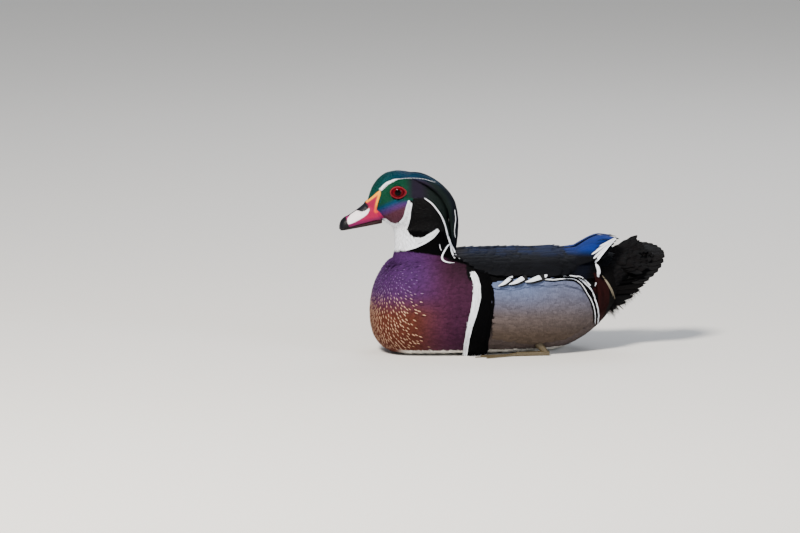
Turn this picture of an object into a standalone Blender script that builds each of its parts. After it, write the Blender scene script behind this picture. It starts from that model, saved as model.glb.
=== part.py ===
"""A drake wood duck at rest, life size: the bird sits on its belly with its feet tucked under.

The bird faces -X, its left side is at -Y, and the flat of its belly lies on the plane Z = 0.
Sizes are in millimetres and are turned to metres where a mesh is made.
"""
import math
import random

import bmesh
import bpy
import numpy as np
from mathutils import Vector

MM = 0.001
GAP = 0.3
COARSE_GAP = 1.3
CENTRE_PLACE = 2.9
FEATHER_SOLVER = "MANIFOLD"
FLAT_ANGLE = 0.3
DRAW = random.Random(7)

# Body: place along X, height of back, height of belly, half width
TORSO_STATIONS = [
    (-142.0, 49.0, 36.0, 9.0), (-140.5, 61.0, 25.0, 20.0), (-137.0, 74.0, 15.0, 31.0),
    (-131.0, 87.0, 7.0, 41.5), (-123.0, 97.0, 1.0, 49.5), (-112.0, 104.0, -4.0, 56.0),
    (-92.0, 108.0, -7.0, 61.0), (-60.0, 109.0, -8.0, 64.5), (-20.0, 109.0, -8.0, 66.0),
    (20.0, 108.5, -7.0, 65.5), (52.0, 106.0, -3.0, 60.5), (78.0, 103.0, 6.0, 51.0),
    (98.0, 101.0, 18.0, 40.5), (114.0, 99.0, 33.0, 30.0), (125.0, 96.0, 50.0, 20.0),
    (131.0, 91.0, 64.0, 10.0)]
TORSO_ROUNDNESS = 2.25
TORSO_AROUND = 28

# Neck: height, front edge, hind edge, half width
NECK_STATIONS = [
    (84.0, -120.0, -36.0, 38.0), (94.0, -121.0, -41.0, 32.0), (104.0, -118.5, -46.5, 25.5),
    (114.0, -116.5, -50.5, 21.5), (124.0, -116.5, -52.0, 19.0), (138.0, -117.0, -53.5, 17.5),
    (152.0, -113.0, -62.0, 15.0)]
NECK_ROUNDNESS = 2.1
NECK_AROUND = 20

# Head: place along X, height of crown, height of chin, half width
HEAD_STATIONS = [
    (-145.5, 162.0, 155.0, 3.5), (-143.5, 169.0, 151.0, 6.5), (-140.0, 179.0, 148.5, 9.5),
    (-133.0, 189.0, 144.5, 13.8), (-124.0, 195.5, 138.5, 17.2), (-111.0, 198.0, 131.0, 19.4),
    (-94.0, 195.0, 124.0, 19.8), (-78.0, 189.0, 124.0, 18.2), (-66.0, 180.0, 130.0, 14.5),
    (-58.5, 170.0, 138.0, 9.5), (-55.0, 161.0, 147.0, 4.5)]
HEAD_ROUNDNESS = 2.15
HEAD_AROUND = 24
HEAD_TURN = math.radians(8.0)
TURN_AXIS = -86.0
TURN_START = 100.0
TURN_END = 135.0

# Bill: place along X, height of the culmen above the mouth line, half width
BILL_STATIONS = [
    (-174.5, 3.6, 2.6), (-172.8, 8.0, 5.6), (-169.0, 10.9, 7.6), (-162.0, 13.2, 8.6),
    (-154.0, 16.8, 8.9), (-146.0, 21.4, 9.5), (-139.0, 25.0, 10.6), (-132.0, 23.0, 12.0),
    (-125.0, 15.0, 10.0)]
MOUTH_TIP = 133.2
MOUTH_SLOPE = 0.275
BILL_TIP = -174.5
BILL_AROUND = 15
LOWER_DEPTH = [(-173.3, 1.6), (-170.0, 2.8), (-160.0, 4.0), (-145.0, 5.6), (-128.0, 7.0)]
LOWER_SHARE = 0.9
NOSTRIL = (-153.0, 8.0, 151.5)
NOSTRIL_SIZE = (2.6, 1.6, 1.2)

# Eye and lids
EYE_PLACE = (-111.0, 13.0, 174.5)
EYE_RADIUS = 8.4
LID_HALF_LENGTH = 8.6
LID_HALF_HEIGHT = 7.0
LID_THICKNESS = 1.3
LID_OFFSET = 18.2
LID_AROUND = 20
LID_SIDES = 6

# Crest: outline behind the head, as places along the fall of the feathers
CREST_OUTER = [(-104.0, 197.0), (-84.0, 193.0), (-64.0, 181.0), (-51.0, 166.0), (-46.0, 148.0),
               (-45.5, 130.0), (-47.0, 111.5)]
CREST_INNER = [(-92.0, 184.0), (-78.0, 178.0), (-67.0, 168.0), (-61.0, 155.0), (-58.5, 142.0),
               (-57.0, 128.0), (-54.5, 114.5)]
CREST_HALF_WIDTHS = [14.0, 19.0, 18.5, 16.0, 13.0, 9.5, 5.0]
CREST_CORE_END = 0.55
CREST_CORE_REACH = (0.85, 0.5)
CREST_LAYERS = [(0.04, 0.60, 4, 13.0), (0.20, 0.82, 5, 11.5), (0.36, 1.00, 4, 10.5)]
CREST_LAYER_STEP = 3.0
CREST_LOCK_THICKNESS = 0.7
CREST_LOCK_ROWS = 4

# Wing: reach along the body, upper and lower edge as turns from the ridge of the back
WING_START = -50.0
WING_END = 86.0
WING_TOP_TURN = 2.0
WING_EDGE = [(-50.0, 24.0), (-30.0, 46.0), (0.0, 53.0), (40.0, 53.0), (66.0, 46.0), (86.0, 30.0)]
WING_CORE = [(-50.0, 1.6), (20.0, 2.0), (44.0, 2.4), (58.0, 5.6), (72.0, 4.6), (86.0, 3.0)]
MIDDLE_CLEAR = 0.9
SCAPULAR_ROWS = 4
SCAPULARS_IN_ROW = 4
SCAPULAR_SPACING = 21.0
SCAPULAR_SIZE = (35.0, 19.0)
LAP = 1.3
TERTIALS = 4
TERTIAL_WIDTHS = (18.0, 15.0)
SECONDARIES = 5
SECONDARY_WIDTH = 12.5
PRIMARIES = 3
PRIMARY_WIDTH = 9.0

# Flank: reach along the body, edges as turns from the ridge of the back
FLANK_START = -12.0
FLANK_END = 98.0
FLANK_TOP = [(-12.0, 67.0), (15.0, 63.0), (55.0, 63.0), (80.0, 71.0), (98.0, 90.0)]
FLANK_LOW = [(-12.0, 116.0), (25.0, 124.0), (65.0, 126.0), (98.0, 116.0)]
FLANK_CORE = [(-12.0, 2.0), (98.0, 2.0)]
FLANK_ROWS = 4
FLANKS_IN_ROW = 3
FLANK_FEATHER_SIZE = (38.0, 23.0)
EDGE_FEATHERS = 5
EDGE_FEATHER_SIZE = (24.0, 10.0)

# Tail: root, lengths, rise, roll of the fan and half spread
TAIL_ROOT = (114.0, 0.0, 94.5)
TAIL_LENGTH = 66.0
TAIL_EDGE_LENGTH = 50.0
TAIL_RISE = math.radians(5.0)
TAIL_ROLL = math.radians(36.0)
TAIL_SPREAD = math.radians(37.0)
TAIL_PAIRS = 6
TAIL_FEATHER_WIDTH = 15.0
TAIL_STEP = 1.8
# Tail core: place along X, top, bottom, half width
TAIL_CORE = [(106.0, 96.0, 42.0, 24.0), (118.0, 98.0, 50.0, 20.0), (130.0, 99.0, 62.0, 15.0),
             (141.0, 99.0, 76.0, 9.0), (149.0, 98.0, 88.0, 4.0)]
UPPER_COVERTS = (5, 4)
UNDER_COVERTS = [(4, 118.0, 68.0, 158.0, 85.0, 16.0), (3, 114.0, 58.0, 147.0, 70.0, 11.0),
                 (3, 114.0, 50.0, 136.0, 56.0, 8.0)]
COVERT_SIZE = (32.0, 15.0)

# Leg and foot: the shank lies forward along the floor from the heel, the toes point forward
HEEL = (46.0, 50.0)
ANKLE = (10.0, 51.0)
SHANK_WIDTH = 5.4
SHANK_HEIGHT = 4.6
THIGH_TOP = (22.0, 42.0, 28.0)
THIGH_WIDTH = 15.0
TOE_LENGTHS = (34.0, 43.0, 36.0)
TOE_ANGLES = (-22.0, -6.0, 8.0)
TOE_WIDTH = 4.4
TOE_HEIGHT = 2.6
WEB_HEIGHT = 1.2
WEB_HOLLOW = 4.0


def clear_scene():
    for item in list(bpy.data.objects):
        bpy.data.objects.remove(item, do_unlink=True)


def curve(points, at):
    """Value at a place on a smooth curve through (place, value) points, with no overshoot."""
    places, values = np.array(points, float).T
    steps = np.diff(places)
    rises = np.diff(values) / steps
    slopes = np.zeros(len(places))
    for index in range(1, len(places) - 1):
        before, after = rises[index - 1], rises[index]
        if before * after > 0:
            slopes[index] = 2 * before * after / (before + after)
    slopes[0], slopes[-1] = rises[0], rises[-1]
    at = min(max(at, places[0]), places[-1])
    index = min(int(np.searchsorted(places, at, side="right")) - 1, len(steps) - 1)
    share = (at - places[index]) / steps[index]
    rest = 1 - share
    start = values[index] * (1 + 2 * share) * rest ** 2
    end = values[index + 1] * (3 - 2 * share) * share ** 2
    bend = steps[index] * share * rest * (slopes[index] * rest - slopes[index + 1] * share)
    return start + end + bend


def column(rows, number):
    return [(row[0], row[number]) for row in rows]


def between(rows, parts):
    """Places at the rows and at even steps between them."""
    places = []
    for first, second in zip(rows, rows[1:]):
        places += [first[0] + (second[0] - first[0]) * step / parts for step in range(parts)]
    return places + [rows[-1][0]]


def oval(turn, roundness):
    """Point on a rounded square of half size 1; turn is in degrees from the top."""
    side, up = math.sin(math.radians(turn)), math.cos(math.radians(turn))
    power = 2 / roundness
    return math.copysign(abs(side) ** power, side), math.copysign(abs(up) ** power, up)


def upright_section(rows, place, turn, roundness):
    """Point of a body whose rows give back, belly and half width along X."""
    top, bottom, half = (curve(column(rows, number), place) for number in (1, 2, 3))
    side, up = oval(turn, roundness)
    return Vector((place, -half * side, (top + bottom) / 2 + up * (top - bottom) / 2))


def torso_point(place, turn):
    point = upright_section(TORSO_STATIONS, place, turn, TORSO_ROUNDNESS)
    point.z = max(point.z, 0.0)
    return point


def torso_normal(place, turn):
    along = torso_point(place + 0.5, turn) - torso_point(place - 0.5, turn)
    around = torso_point(place, turn + 0.5) - torso_point(place, turn - 0.5)
    return around.cross(along).normalized()


def head_turned(point):
    """The point after the neck and head turn to the bird's right."""
    share = min(max((point[2] - TURN_START) / (TURN_END - TURN_START), 0), 1)
    angle = -HEAD_TURN * share * share * (3 - 2 * share)
    x, y = point[0] - TURN_AXIS, point[1]
    cosine, sine = math.cos(angle), math.sin(angle)
    return Vector((TURN_AXIS + x * cosine - y * sine, x * sine + y * cosine, point[2]))


def make_material(name, colour, roughness, metallic=0.0):
    material = bpy.data.materials.new(name)
    material.use_nodes = True
    shader = material.node_tree.nodes["Principled BSDF"]
    shader.inputs["Base Color"].default_value = (*colour, 1)
    shader.inputs["Roughness"].default_value = roughness
    shader.inputs["Metallic"].default_value = metallic
    material.diffuse_color = (*colour, 1)
    return material


def make_object(name, points, faces, material=None):
    """A triangulated mesh object with its faces pointing out."""
    mesh = bpy.data.meshes.new(name)
    middle = Vector((CENTRE_PLACE, 0, 0))
    mesh.from_pydata([(Vector(point) - middle) * MM for point in points], [], faces)
    body = bmesh.new()
    body.from_mesh(mesh)
    bmesh.ops.triangulate(body, faces=body.faces)
    bmesh.ops.recalc_face_normals(body, faces=body.faces)
    if body.calc_volume(signed=True) < 0:
        bmesh.ops.reverse_faces(body, faces=body.faces)
    body.to_mesh(mesh)
    body.free()
    item = bpy.data.objects.new(name, mesh)
    bpy.context.scene.collection.objects.link(item)
    if material:
        mesh.materials.append(material)
    return item


def loft(name, rings, material=None, bend=None):
    """A closed body through rings of points, closed at each end by a fan of triangles."""
    count = len(rings[0])
    points = [point for ring in rings for point in ring]
    faces = []
    for row in range(len(rings) - 1):
        for step in range(count):
            here, after = row * count + step, row * count + (step + 1) % count
            faces.append((here, after, after + count, here + count))
    for start, ring in ((0, rings[0]), (len(points) - count, rings[-1])):
        points.append(sum((Vector(point) for point in ring), Vector()) / count)
        centre = len(points) - 1
        faces += [(start + step, start + (step + 1) % count, centre) for step in range(count)]
    if bend:
        points = [bend(point) for point in points]
    return make_object(name, points, faces, material)


def keep_largest(body):
    """Delete all but the largest closed surface of a bmesh."""
    groups, seen = [], set()
    for vertex in body.verts:
        if vertex in seen:
            continue
        group, queue = [], [vertex]
        seen.add(vertex)
        while queue:
            current = queue.pop()
            group.append(current)
            for edge in current.link_edges:
                other = edge.other_vert(current)
                if other not in seen:
                    seen.add(other)
                    queue.append(other)
        groups.append(group)
    groups.sort(key=len)
    for group in groups[:-1]:
        bmesh.ops.delete(body, geom=group, context="VERTS")


def merge_flat_faces(body):
    """Join triangles that lie in one plane, unless that would open the surface."""
    copy = body.copy()
    bmesh.ops.dissolve_limit(copy, angle_limit=math.radians(FLAT_ANGLE), verts=copy.verts,
                             edges=copy.edges)
    bmesh.ops.triangulate(copy, faces=copy.faces)
    closed = all(len(edge.link_faces) == 2 for edge in copy.edges)
    same = abs(copy.calc_volume() / body.calc_volume() - 1) < 0.001
    if closed and same:
        body.free()
        return copy
    copy.free()
    return body


def settle(item, flat):
    """Apply the object's modifiers and keep its largest closed surface."""
    graph = bpy.context.evaluated_depsgraph_get()
    mesh = bpy.data.meshes.new_from_object(item.evaluated_get(graph))
    item.modifiers.clear()
    body = bmesh.new()
    body.from_mesh(mesh)
    bmesh.ops.triangulate(body, faces=body.faces)
    keep_largest(body)
    if flat:
        body = merge_flat_faces(body)
    body.to_mesh(mesh)
    body.free()
    mesh.name = item.name
    item.data = mesh


def boolean(item, others, operation, solver="EXACT", flat=False):
    """One Boolean of an object with a collection of closed meshes, which are then removed."""
    group = bpy.data.collections.new(item.name + " tools")
    bpy.context.scene.collection.children.link(group)
    for other in others:
        bpy.context.scene.collection.objects.unlink(other)
        group.objects.link(other)
    modifier = item.modifiers.new(operation.lower(), "BOOLEAN")
    modifier.operation = operation
    modifier.operand_type = "COLLECTION"
    modifier.collection = group
    modifier.solver = solver
    settle(item, flat)
    for other in others:
        bpy.data.objects.remove(other, do_unlink=True)
    bpy.data.collections.remove(group)


def grown(item, distance=GAP):
    """A copy of an object, larger by the distance on every face, for cutting its neighbour clear."""
    copy = item.copy()
    copy.data = item.data.copy()
    bpy.context.scene.collection.objects.link(copy)
    body = bmesh.new()
    body.from_mesh(copy.data)
    moves = [vertex.normal * vertex.calc_shell_factor() * distance * MM for vertex in body.verts]
    for vertex, move in zip(body.verts, moves):
        vertex.co += move
    body.to_mesh(copy.data)
    body.free()
    return copy


def round_off(item, angle=50):
    item.data.shade_smooth()
    item.data.set_sharp_from_angle(angle=math.radians(angle))


def make_torso(material):
    turns = [360 * step / TORSO_AROUND for step in range(TORSO_AROUND)]
    rings = [[torso_point(place, turn) for turn in turns] for place in between(TORSO_STATIONS, 2)]
    return loft("torso", rings, material)


def make_neck(material):
    rings = []
    for height in between(NECK_STATIONS, 2):
        front, hind, half = (curve(column(NECK_STATIONS, number), height) for number in (1, 2, 3))
        ring = []
        for step in range(NECK_AROUND):
            side, ahead = oval(360 * step / NECK_AROUND, NECK_ROUNDNESS)
            ring.append((((front + hind) - ahead * (hind - front)) / 2, half * side, height))
        rings.append(ring)
    return loft("neck", rings, material, head_turned)


def head_point(place, turn):
    return upright_section(HEAD_STATIONS, place, turn, HEAD_ROUNDNESS)


def make_head(material, around=HEAD_AROUND, parts=2):
    turns = [360 * step / around for step in range(around)]
    rings = [[head_point(place, turn) for turn in turns] for place in between(HEAD_STATIONS, parts)]
    return loft("head", rings, material, head_turned)


def make_lid(side):
    """The raised rim of both lids, an oval that comes to a point at the hind corner."""
    points = []
    for step in range(LID_AROUND):
        angle = math.tau * step / LID_AROUND
        stretch = 1 + 0.12 * max(math.cos(angle), 0) ** 6
        middle = Vector((EYE_PLACE[0] + LID_HALF_LENGTH * stretch * math.cos(angle), 0,
                         EYE_PLACE[2] + LID_HALF_HEIGHT * math.sin(angle)))
        out = Vector((math.cos(angle), 0, math.sin(angle)))
        for part in range(LID_SIDES):
            turn = math.tau * part / LID_SIDES
            across = out * LID_THICKNESS * math.cos(turn)
            depth = LID_OFFSET + 1.6 * LID_THICKNESS * math.sin(turn)
            points.append(head_turned(middle + across + Vector((0, side * depth, 0))))
    faces = []
    for row in range(LID_AROUND):
        here, there = row * LID_SIDES, (row + 1) % LID_AROUND * LID_SIDES
        for part in range(LID_SIDES):
            after = (part + 1) % LID_SIDES
            faces.append((here + part, here + after, there + after, there + part))
    return make_object("lid", points, faces)


def ball(name, centre, radii, material=None, around=12, high=8, bend=head_turned):
    rings = []
    for row in range(1, high):
        tilt = math.pi * row / high
        ring = []
        for step in range(around):
            turn = math.tau * step / around
            ring.append((centre[0] + radii[0] * math.sin(tilt) * math.cos(turn),
                         centre[1] + radii[1] * math.cos(tilt),
                         centre[2] + radii[2] * math.sin(tilt) * math.sin(turn)))
        rings.append(ring)
    return loft(name, rings, material, bend)


def make_eye(name, side, material, extra=0.0):
    radius = EYE_RADIUS + extra
    centre = (EYE_PLACE[0], side * EYE_PLACE[1], EYE_PLACE[2])
    return ball(name, centre, (radius, radius, radius), material)


def mouth_height(place):
    return MOUTH_TIP + MOUTH_SLOPE * (place - BILL_TIP)


def make_upper_bill(material):
    rings = []
    for place in between(BILL_STATIONS, 2):
        rise, half = (curve(column(BILL_STATIONS, number), place) for number in (1, 2))
        low = mouth_height(place)
        ring = []
        for step in range(BILL_AROUND):
            turn = -90 + 180 * step / (BILL_AROUND - 1)
            side, up = oval(turn, 1.9)
            ring.append((place, half * side, low + rise * up))
        rings.append(ring)
    return loft("bill_upper", rings, material, head_turned)


def make_lower_bill(material):
    rings = []
    for place in between(LOWER_DEPTH, 2):
        half = LOWER_SHARE * curve(column(BILL_STATIONS, 2), place)
        depth = curve(LOWER_DEPTH, place)
        low = mouth_height(place) - GAP
        ring = []
        for step in range(BILL_AROUND):
            turn = -90 + 180 * step / (BILL_AROUND - 1)
            side, up = oval(turn, 2.2)
            ring.append((place, half * side, low - depth * up))
        rings.append(ring)
    return loft("bill_lower", rings, material, head_turned)


def make_nostril(side):
    return ball("nostril", (NOSTRIL[0], side * NOSTRIL[1], NOSTRIL[2]), NOSTRIL_SIZE, None, 10, 6)


def smooth_path(points, count):
    """Even steps along a smooth curve through points, by their number."""
    columns = list(zip(*points))
    last = len(points) - 1
    return [[curve(list(enumerate(values)), last * step / (count - 1)) for values in columns]
            for step in range(count)]


def blade(name, middles, normals, halves, thicks, bend=None):
    """A thin feather along its middle line, with both faces split in triangles alike."""
    points, faces = [], []
    last = len(middles) - 1
    for row, middle in enumerate(middles):
        along = middles[min(row + 1, last)] - middles[max(row - 1, 0)]
        across = along.cross(normals[row]).normalized() * halves[row]
        depth = normals[row].normalized() * thicks[row] / 2
        points += [middle - across + depth, middle + across + depth,
                   middle + across - depth, middle - across - depth]
    for row in range(last):
        low, high = row * 4, row * 4 + 4
        faces += [(low, low + 1, high + 1), (low, high + 1, high)]
        faces += [(low + 3, high + 2, low + 2), (low + 3, high + 3, high + 2)]
        faces += [(low + 1, low + 2, high + 2), (low + 1, high + 2, high + 1)]
        faces += [(low, high, high + 3), (low, high + 3, low + 3)]
    end = last * 4
    faces += [(0, 2, 1), (0, 3, 2), (end, end + 1, end + 2), (end, end + 2, end + 3)]
    if bend:
        points = [bend(point) for point in points]
    return make_object(name, points, faces)


def blade_width(share, root, widest, tip):
    """Half of a feather's width along its length, as a share of the full width."""
    return curve([(0.0, root / 2), (widest, 0.5), (0.86, 0.42), (1.0, tip / 2)], share)


def body_feather(start, end, width, lifts, side, steps=4, thickness=0.7, tip=0.3, power=1.0):
    """A feather from one (place, turn) on the torso to another, rising off it along its length."""
    middles, normals, halves, thicks = [], [], [], []
    for step in range(steps):
        share = 1 - (1 - step / (steps - 1)) ** 1.15
        place = start[0] + (end[0] - start[0]) * share
        turn = side * (start[1] + (end[1] - start[1]) * share)
        normal = torso_normal(place, turn)
        lift = lifts[0] + (lifts[1] - lifts[0]) * share ** power
        half = blade_width(share, 0.5, 0.55, tip) * width
        middle = torso_point(place, turn) + normal * lift
        room = half * math.hypot(normal.y, normal.z) + MIDDLE_CLEAR
        middle.y = -side * max(-side * middle.y, room * abs(normal.z))
        middles.append(middle)
        normals.append(normal)
        halves.append(half)
        thicks.append(max(thickness * (1 - 0.4 * share), 0.5))
    return blade("feather", middles, normals, halves, thicks)


def make_crest(material):
    """A low core down the nape, and flat tapered locks in three layers that fall over it."""
    count = 21
    outer, inner = smooth_path(CREST_OUTER, count), smooth_path(CREST_INNER, count)
    widths = smooth_path([(width,) for width in CREST_HALF_WIDTHS], count)

    def section(share, angle, reach):
        place = share * (count - 1)
        low = min(int(place), count - 2)
        part = place - low
        mixed = [[first + (second - first) * part for first, second in zip(line[low], line[low + 1])]
                 for line in (outer, inner, widths)]
        (out_x, out_z), (in_x, in_z), (half,) = mixed
        up, across = math.cos(angle) * reach, math.sin(angle) * min(1.15 * reach, 1.0)
        return Vector(((out_x + in_x) / 2 + (out_x - in_x) / 2 * up, half * across,
                       (out_z + in_z) / 2 + (out_z - in_z) / 2 * up))

    rings = []
    for row in range(5):
        share = CREST_CORE_END * row / 4
        reach = CREST_CORE_REACH[0] + (CREST_CORE_REACH[1] - CREST_CORE_REACH[0]) * row / 4
        rings.append([section(share, math.tau * step / 8, reach) for step in range(8)])
    core = loft("crest", rings, material, head_turned)
    locks = []
    for layer, (start, end, number, width) in enumerate(CREST_LAYERS):
        for lock in range(number):
            offset = lock / (number - 1) - 0.5
            angle = math.radians(205) * offset
            finish = end - 0.10 * abs(offset) - 0.04 * DRAW.random()
            middles, normals, halves, thicks = [], [], [], []
            for step in range(CREST_LOCK_ROWS):
                part = step / (CREST_LOCK_ROWS - 1)
                share = start + (finish - start) * part
                here = section(share, angle, 1.0)
                normal = (here - section(share, angle, 0.0)).normalized()
                depth = CREST_LAYER_STEP * (layer * (1 - part) + 0.5 * (lock % 2))
                middles.append(here - normal * (depth + 1.6 * (1 - part) ** 2))
                normals.append(normal)
                shape = curve([(0, 0.6), (0.35, 1.0), (0.75, 0.7), (1, 0.14)], part)
                halves.append(width / 2 * shape)
                thicks.append(CREST_LOCK_THICKNESS * (1 - 0.4 * part))
            locks.append(blade("lock", middles, normals, halves, thicks, head_turned))
    boolean(core, locks, "UNION", FEATHER_SOLVER)
    return core


def shell(name, sections, material=None):
    """A closed body from rows of (outer point, inner point) pairs."""
    rings = []
    for section in sections:
        outer = [pair[0] for pair in section]
        inner = [pair[1] for pair in reversed(section)]
        rings.append(outer + inner)
    return loft(name, rings, material)


def make_core(name, side, reach, edges, height, material):
    """The low base that the feathers of a wing or flank grow from, laid over the torso."""
    sections = []
    rows, across = 9, 5
    for row in range(rows + 1):
        place = reach[0] + (reach[1] - reach[0]) * row / rows
        first, second = (curve(edge, place) for edge in edges)
        section = []
        for step in range(across + 1):
            turn = side * (first + (second - first) * step / across)
            base, normal = torso_point(place, turn), torso_normal(place, turn)
            outer = base + normal * curve(height, place)
            section.append((outer, base - normal * 1.5))
        sections.append(section)
    return shell(name, sections, material)


def wing_edge(place):
    return curve(WING_EDGE, place)


def make_wing(name, side, material):
    """The folded wing: rows of scapulars over the tertials, secondaries and primary tips."""
    top = [(WING_START, WING_TOP_TURN), (WING_END, WING_TOP_TURN)]
    core = make_core(name, side, (WING_START, WING_END), (top, WING_EDGE), WING_CORE, material)
    feathers = []
    length, width = SCAPULAR_SIZE
    for row in range(SCAPULAR_ROWS):
        count = SCAPULARS_IN_ROW if row else 2
        for number in range(count):
            share = (number + 0.4 * (row % 2)) / (count - 0.6)
            place = WING_START + 5 + SCAPULAR_SPACING * row + 2 * DRAW.random()
            turn = 9 + (wing_edge(place + 6) - 17) * share
            end = place + length * (0.95 + 0.1 * DRAW.random())
            drift = -2.0 if share > 0.7 else 1.0
            over = LAP * (number % 2)
            feathers.append(body_feather((place, turn), (end, turn + drift), width,
                                         (0.5 + over, 3.4 + over), side))
    for number in range(PRIMARIES):
        share = number / (PRIMARIES - 1)
        root, end = (74.0, 27.0 + 9 * share), (121.0 - 5 * share, 18.0 + 20 * share)
        feathers.append(body_feather(root, end, PRIMARY_WIDTH, (2.4 - 1.8 * share, 8.0 - 4 * share),
                                     side, 4, 0.6, 0.35))
    for number in range(SECONDARIES):
        share = number / (SECONDARIES - 1)
        root, end = (60.0 - 6 * share, 33.0 + 14 * share), (108.0 - 8 * share, 32.0 + 24 * share)
        feathers.append(body_feather(root, end, SECONDARY_WIDTH, (3.6 - 2.6 * share, 13.0 - 8.5 * share),
                                     side, 4, 0.6, 0.5, 1.1))
    for number in range(TERTIALS):
        share = number / (TERTIALS - 1)
        broad = TERTIAL_WIDTHS[0] + (TERTIAL_WIDTHS[1] - TERTIAL_WIDTHS[0]) * share
        root, end = (54.0, 11.0 + 24 * share), (122.0 - 13 * share, 10.0 + 24 * share)
        feathers.append(body_feather(root, end, broad, (5.2 - 3.0 * share, 24.0 - 8 * share),
                                     side, 5, 0.7, 0.4, 1.4))
    boolean(core, feathers, "UNION", FEATHER_SOLVER)
    return core


def make_flank(name, side, material):
    """The side pocket: rows of broad feathers, and narrow ones that lap up along its top edge."""
    core = make_core(name, side, (FLANK_START, FLANK_END), (FLANK_TOP, FLANK_LOW), FLANK_CORE, material)
    feathers = []
    length, width = FLANK_FEATHER_SIZE
    for row in range(FLANK_ROWS):
        count = FLANKS_IN_ROW if row < FLANK_ROWS - 1 else 2
        for number in range(count):
            place = FLANK_START + 6 + (FLANK_END - FLANK_START - length) * row / (FLANK_ROWS - 1)
            top, low = curve(FLANK_TOP, place + 8), curve(FLANK_LOW, place + 8)
            share = (number + 0.5 * (row % 2)) / (count - 0.5)
            turn = top + 12 + (low - top - 19) * share
            end = place + length * (0.95 + 0.1 * DRAW.random())
            limit = curve(FLANK_TOP, end) + 8
            over = LAP * (number % 2)
            feathers.append(body_feather((place, turn), (end, max(turn, limit)), width,
                                         (0.5 + over, 3.8 + over), side, 4, 0.7, 0.45))
    length, width = EDGE_FEATHER_SIZE
    for number in range(EDGE_FEATHERS):
        place = FLANK_START + 8 + 14.5 * number
        start, end = curve(FLANK_TOP, place) + 4, curve(FLANK_TOP, place + length) - 1
        feathers.append(body_feather((place, start), (place + length, end), width,
                                     (1.2, 5.0 + LAP * (number % 2)), side, 4, 0.8, 0.5))
    boolean(core, feathers, "UNION", FEATHER_SOLVER)
    return core


def tail_frame():
    ahead = Vector((math.cos(TAIL_RISE), 0, math.sin(TAIL_RISE)))
    across = Vector((0, math.cos(TAIL_ROLL), math.sin(TAIL_ROLL)))
    up = ahead.cross(across).normalized()
    return ahead, across, up


def tail_feather(angle, start, length, width, drop, rise=0.0, thickness=1.0, tip=0.45):
    """A feather of the fan, at an angle from its middle and a drop below its upper face."""
    ahead, across, up = tail_frame()
    along = ahead * math.cos(angle) + across * math.sin(angle)
    root = Vector(TAIL_ROOT) + along * start - up * drop
    middles, normals, halves, thicks = [], [], [], []
    for step in range(5):
        share = step / 4
        middles.append(root + along * length * share + up * rise * math.sin(math.pi * share * 0.6))
        normals.append(up)
        halves.append(blade_width(share, 0.5, 0.7, tip) * width)
        thicks.append(thickness * (1 - 0.35 * share))
    return blade("tail feather", middles, normals, halves, thicks)


def make_tail(material):
    """The fanned tail feathers, with coverts over and under their roots."""
    rings = []
    for place in between(TAIL_CORE, 1):
        rings.append([upright_section(TAIL_CORE, place, 360 * step / 14, 2.0) for step in range(14)])
    core = loft("tail", rings, material)
    feathers = []
    for pair in range(TAIL_PAIRS):
        for side in (-1, 1):
            spread = (pair + 0.5) / (TAIL_PAIRS - 0.5)
            length = TAIL_LENGTH + (TAIL_EDGE_LENGTH - TAIL_LENGTH) * spread ** 1.6
            drop = TAIL_STEP * (pair + (0.5 if side > 0 else 0.0))
            feathers.append(tail_feather(side * TAIL_SPREAD * spread, 8.0, length - 8.0,
                                         TAIL_FEATHER_WIDTH, drop, 0.0, 0.6))
    length, width = COVERT_SIZE
    for row, number in enumerate(UPPER_COVERTS):
        for item in range(number):
            angle = TAIL_SPREAD * 0.95 * (2 * item / (number - 1) - 1)
            over = 1.6 + 2.4 * row + 1.1 * (item % 2)
            feathers.append(tail_feather(angle, 10.0 - 2 * row, length - 6 * row, width, -over,
                                         4.0 + row, 0.7, 0.5))
    for number, first, low, last, high, reach in UNDER_COVERTS:
        for item in range(number):
            share = 2 * item / (number - 1) - 1
            start = Vector((first, reach * share, low + 0.3 * reach * share))
            end = Vector((last, 1.2 * reach * share, high + 0.8 * reach * share))
            normal = Vector((0.45, 0.4 + 0.35 * share, -1)).normalized()
            start += normal * 1.4 * (item % 2)
            end += normal * 1.4 * (item % 2)
            middles = [start + (end - start) * step / 3 for step in range(4)]
            halves = [blade_width(step / 3, 0.6, 0.6, 0.4) * width for step in range(4)]
            feathers.append(blade("under covert", middles, [normal] * 4, halves,
                                  [1.0 * (1 - 0.12 * step) for step in range(4)]))
    boolean(core, feathers, "UNION", FEATHER_SOLVER, True)
    return core


def foot_outline(start, angle, length, width):
    """Rows along one toe: place, half width and height."""
    direction = Vector((-math.cos(math.radians(angle)), -math.sin(math.radians(angle)), 0))
    across = Vector((direction.y, -direction.x, 0))
    rows = []
    for step in range(4):
        share = step / 3
        rows.append((Vector(start) + direction * length * share, across, width * (1 - 0.6 * share) / 2))
    return rows


def flat_tube(name, rows, heights, material=None):
    """A tube that lies on the floor: flat below and rounded above."""
    rings = []
    for (middle, across, half), height in zip(rows, heights):
        ring = []
        for step in range(7):
            turn = math.pi * step / 6
            rise = height * (0.15 + 0.85 * math.sin(turn))
            ring.append(middle + across * half * math.cos(turn) + Vector((0, 0, rise)))
        ring.append(middle - across * half * 0.8)
        ring.append(middle + across * half * 0.8)
        rings.append(ring)
    return loft(name, rings, material)


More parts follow.
